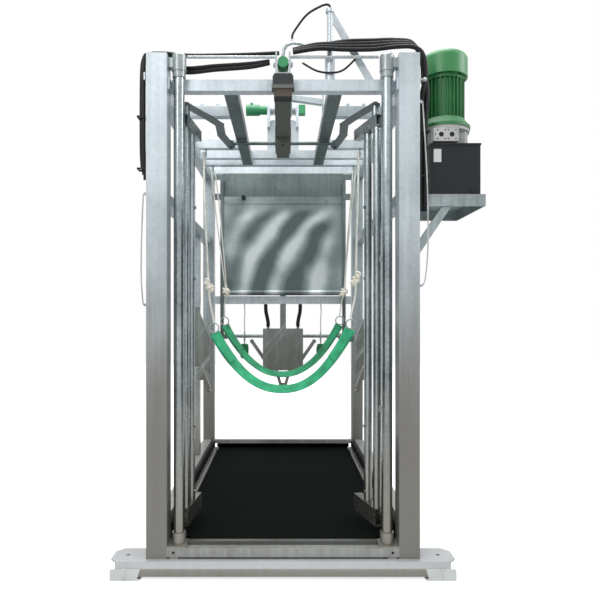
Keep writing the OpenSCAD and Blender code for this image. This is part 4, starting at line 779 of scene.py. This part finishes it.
# %% Cuffs
def pad(name, centre, size):
    """A crowned pad: a cube whose middle is swollen and whose edges are rounded."""
    shape = bmesh.new()
    bmesh.ops.create_cube(shape, size=1.0)
    bmesh.ops.subdivide_edges(shape, edges=shape.edges, cuts=6, use_grid_fill=True)
    lay = shape.loops.layers.uv.new("lay")
    for vert in shape.verts:
        p = vert.co.copy()
        crown = 1 - 1.1 * (p.x * p.x + p.z * p.z)
        ripple = 0.07 * noise.noise(p * 3.1)
        vert.co = Vector((p.x * (1 - 0.5 * p.z ** 2 + ripple), p.y * (0.45 + 0.55 * crown),
                          p.z * (1 - 0.3 * p.x ** 2)))
    for face in shape.faces:
        for loop in face.loops:
            loop[lay].uv = (loop.vert.co.x * size[0] * MM, loop.vert.co.z * size[2] * MM)
    bmesh.ops.scale(shape, verts=shape.verts, vec=Vector(size) * MM)
    bmesh.ops.translate(shape, verts=shape.verts, vec=Vector(centre) * MM)
    piece = keep(name, shape, cuff_weave)
    return piece


cuff_top = 916
for side, x, width, height in (("left", -290, 60, 112), ("right", 284, 56, 90)):
    pad(f"cuff_pad_{side}", (x, cuff_y, cuff_top - height / 2), (width, 20, height))
    pad(f"cuff_flap_{side}", (x - 10, cuff_y - 8, cuff_top - height / 2 - 4),
                           (width * 0.8, 12, height * 0.7))
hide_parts("leg_cuffs")

# %% [markdown]
# ## Light, floor and backdrop
# The photograph has soft daylight on a white ground. A white world and three soft lamps, in front, at the
# side and above, give that, and the floor shows white to the camera. Two dark screens beside the object
# give the round tubes their dark edges.

# %% Stage
floor_shape = bmesh.new()
bmesh.ops.create_grid(floor_shape, x_segments=1, y_segments=1, size=9.0)
bmesh.ops.translate(floor_shape, verts=floor_shape.verts, vec=(0, 0, -0.001))
floor_finish, floor_tree, floor_shader = start_finish("white_floor", 0.0, 0.9)
floor_shader.inputs["Base Color"].default_value = paint("#f4f5f5")
floor_shader.inputs["Emission Color"].default_value = (1, 1, 1, 1)
floor_rays = add(floor_tree, "ShaderNodeLightPath")
glow = add(floor_tree, "ShaderNodeMath", {"operation": "MULTIPLY"},
           {0: floor_rays.outputs["Is Camera Ray"], 1: 0.72})
floor_tree.links.new(glow.outputs[0], floor_shader.inputs["Emission Strength"])
floor = put("floor", floor_shape, floor_finish)

world = bpy.data.worlds.new("daylight")
bpy.context.scene.world = world
world.use_nodes = True
sky = world.node_tree
background = sky.nodes["Background"]
rays = add(sky, "ShaderNodeLightPath")
seen = add(sky, "ShaderNodeMath", {"operation": "MAXIMUM"},
           {0: rays.outputs["Is Camera Ray"], 1: rays.outputs["Is Transmission Ray"]})
seen = add(sky, "ShaderNodeMath", {"operation": "MAXIMUM"},
           {0: seen.outputs[0], 1: rays.outputs["Is Glossy Ray"]})
strength = add(sky, "ShaderNodeMapRange", None, {"Value": seen.outputs[0], "To Min": 0.55, "To Max": 1.0})
sky.links.new(strength.outputs["Result"], background.inputs["Strength"])
background.inputs["Color"].default_value = (1, 1, 1, 1)

screen_finish, _, screen_shader = start_finish("dark_screen", 0.0, 0.9)
screen_shader.inputs["Base Color"].default_value = paint("#2b2f33")
screen_x, screen_depth, screen_height = 2.5, 3.4, 2.0
for side, sign in (("left", -1), ("right", 1)):
    screen = bmesh.new()
    bmesh.ops.create_grid(screen, x_segments=1, y_segments=1, size=0.5)
    bmesh.ops.rotate(screen, verts=screen.verts, matrix=Matrix.Rotation(math.pi / 2, 3, "Y"))
    bmesh.ops.scale(screen, verts=screen.verts, vec=(1.0, screen_depth, screen_height))
    bmesh.ops.translate(screen, verts=screen.verts, vec=(screen_x * sign, -1.6, 1.1))
    card = put("screen_" + side, screen, screen_finish)
    card.visible_camera = False


def lamp(name, place, aim, size, power):
    """A square soft lamp at a place, turned to its aim; size in metres, power in watts."""
    light = bpy.data.lights.new(name, "AREA")
    light.size = size
    light.energy = power
    holder = bpy.data.objects.new(name, light)
    holder.location = place
    holder.rotation_euler = (Vector(aim) - Vector(place)).to_track_quat("-Z", "Y").to_euler()
    bpy.context.collection.objects.link(holder)


lamp("front_softbox", (-2.2, -4.6, 4.2), (0, 0, 1.8), 1.6, 60)
lamp("side_softbox", (3.8, -1.0, 3.8), (0, 0, 1.4), 1.6, 60)
lamp("top_softbox", (0.0, -0.6, 5.0), (0, -0.4, 0.5), 3.0, 150)
bpy.context.scene.view_settings.view_transform = "Standard"
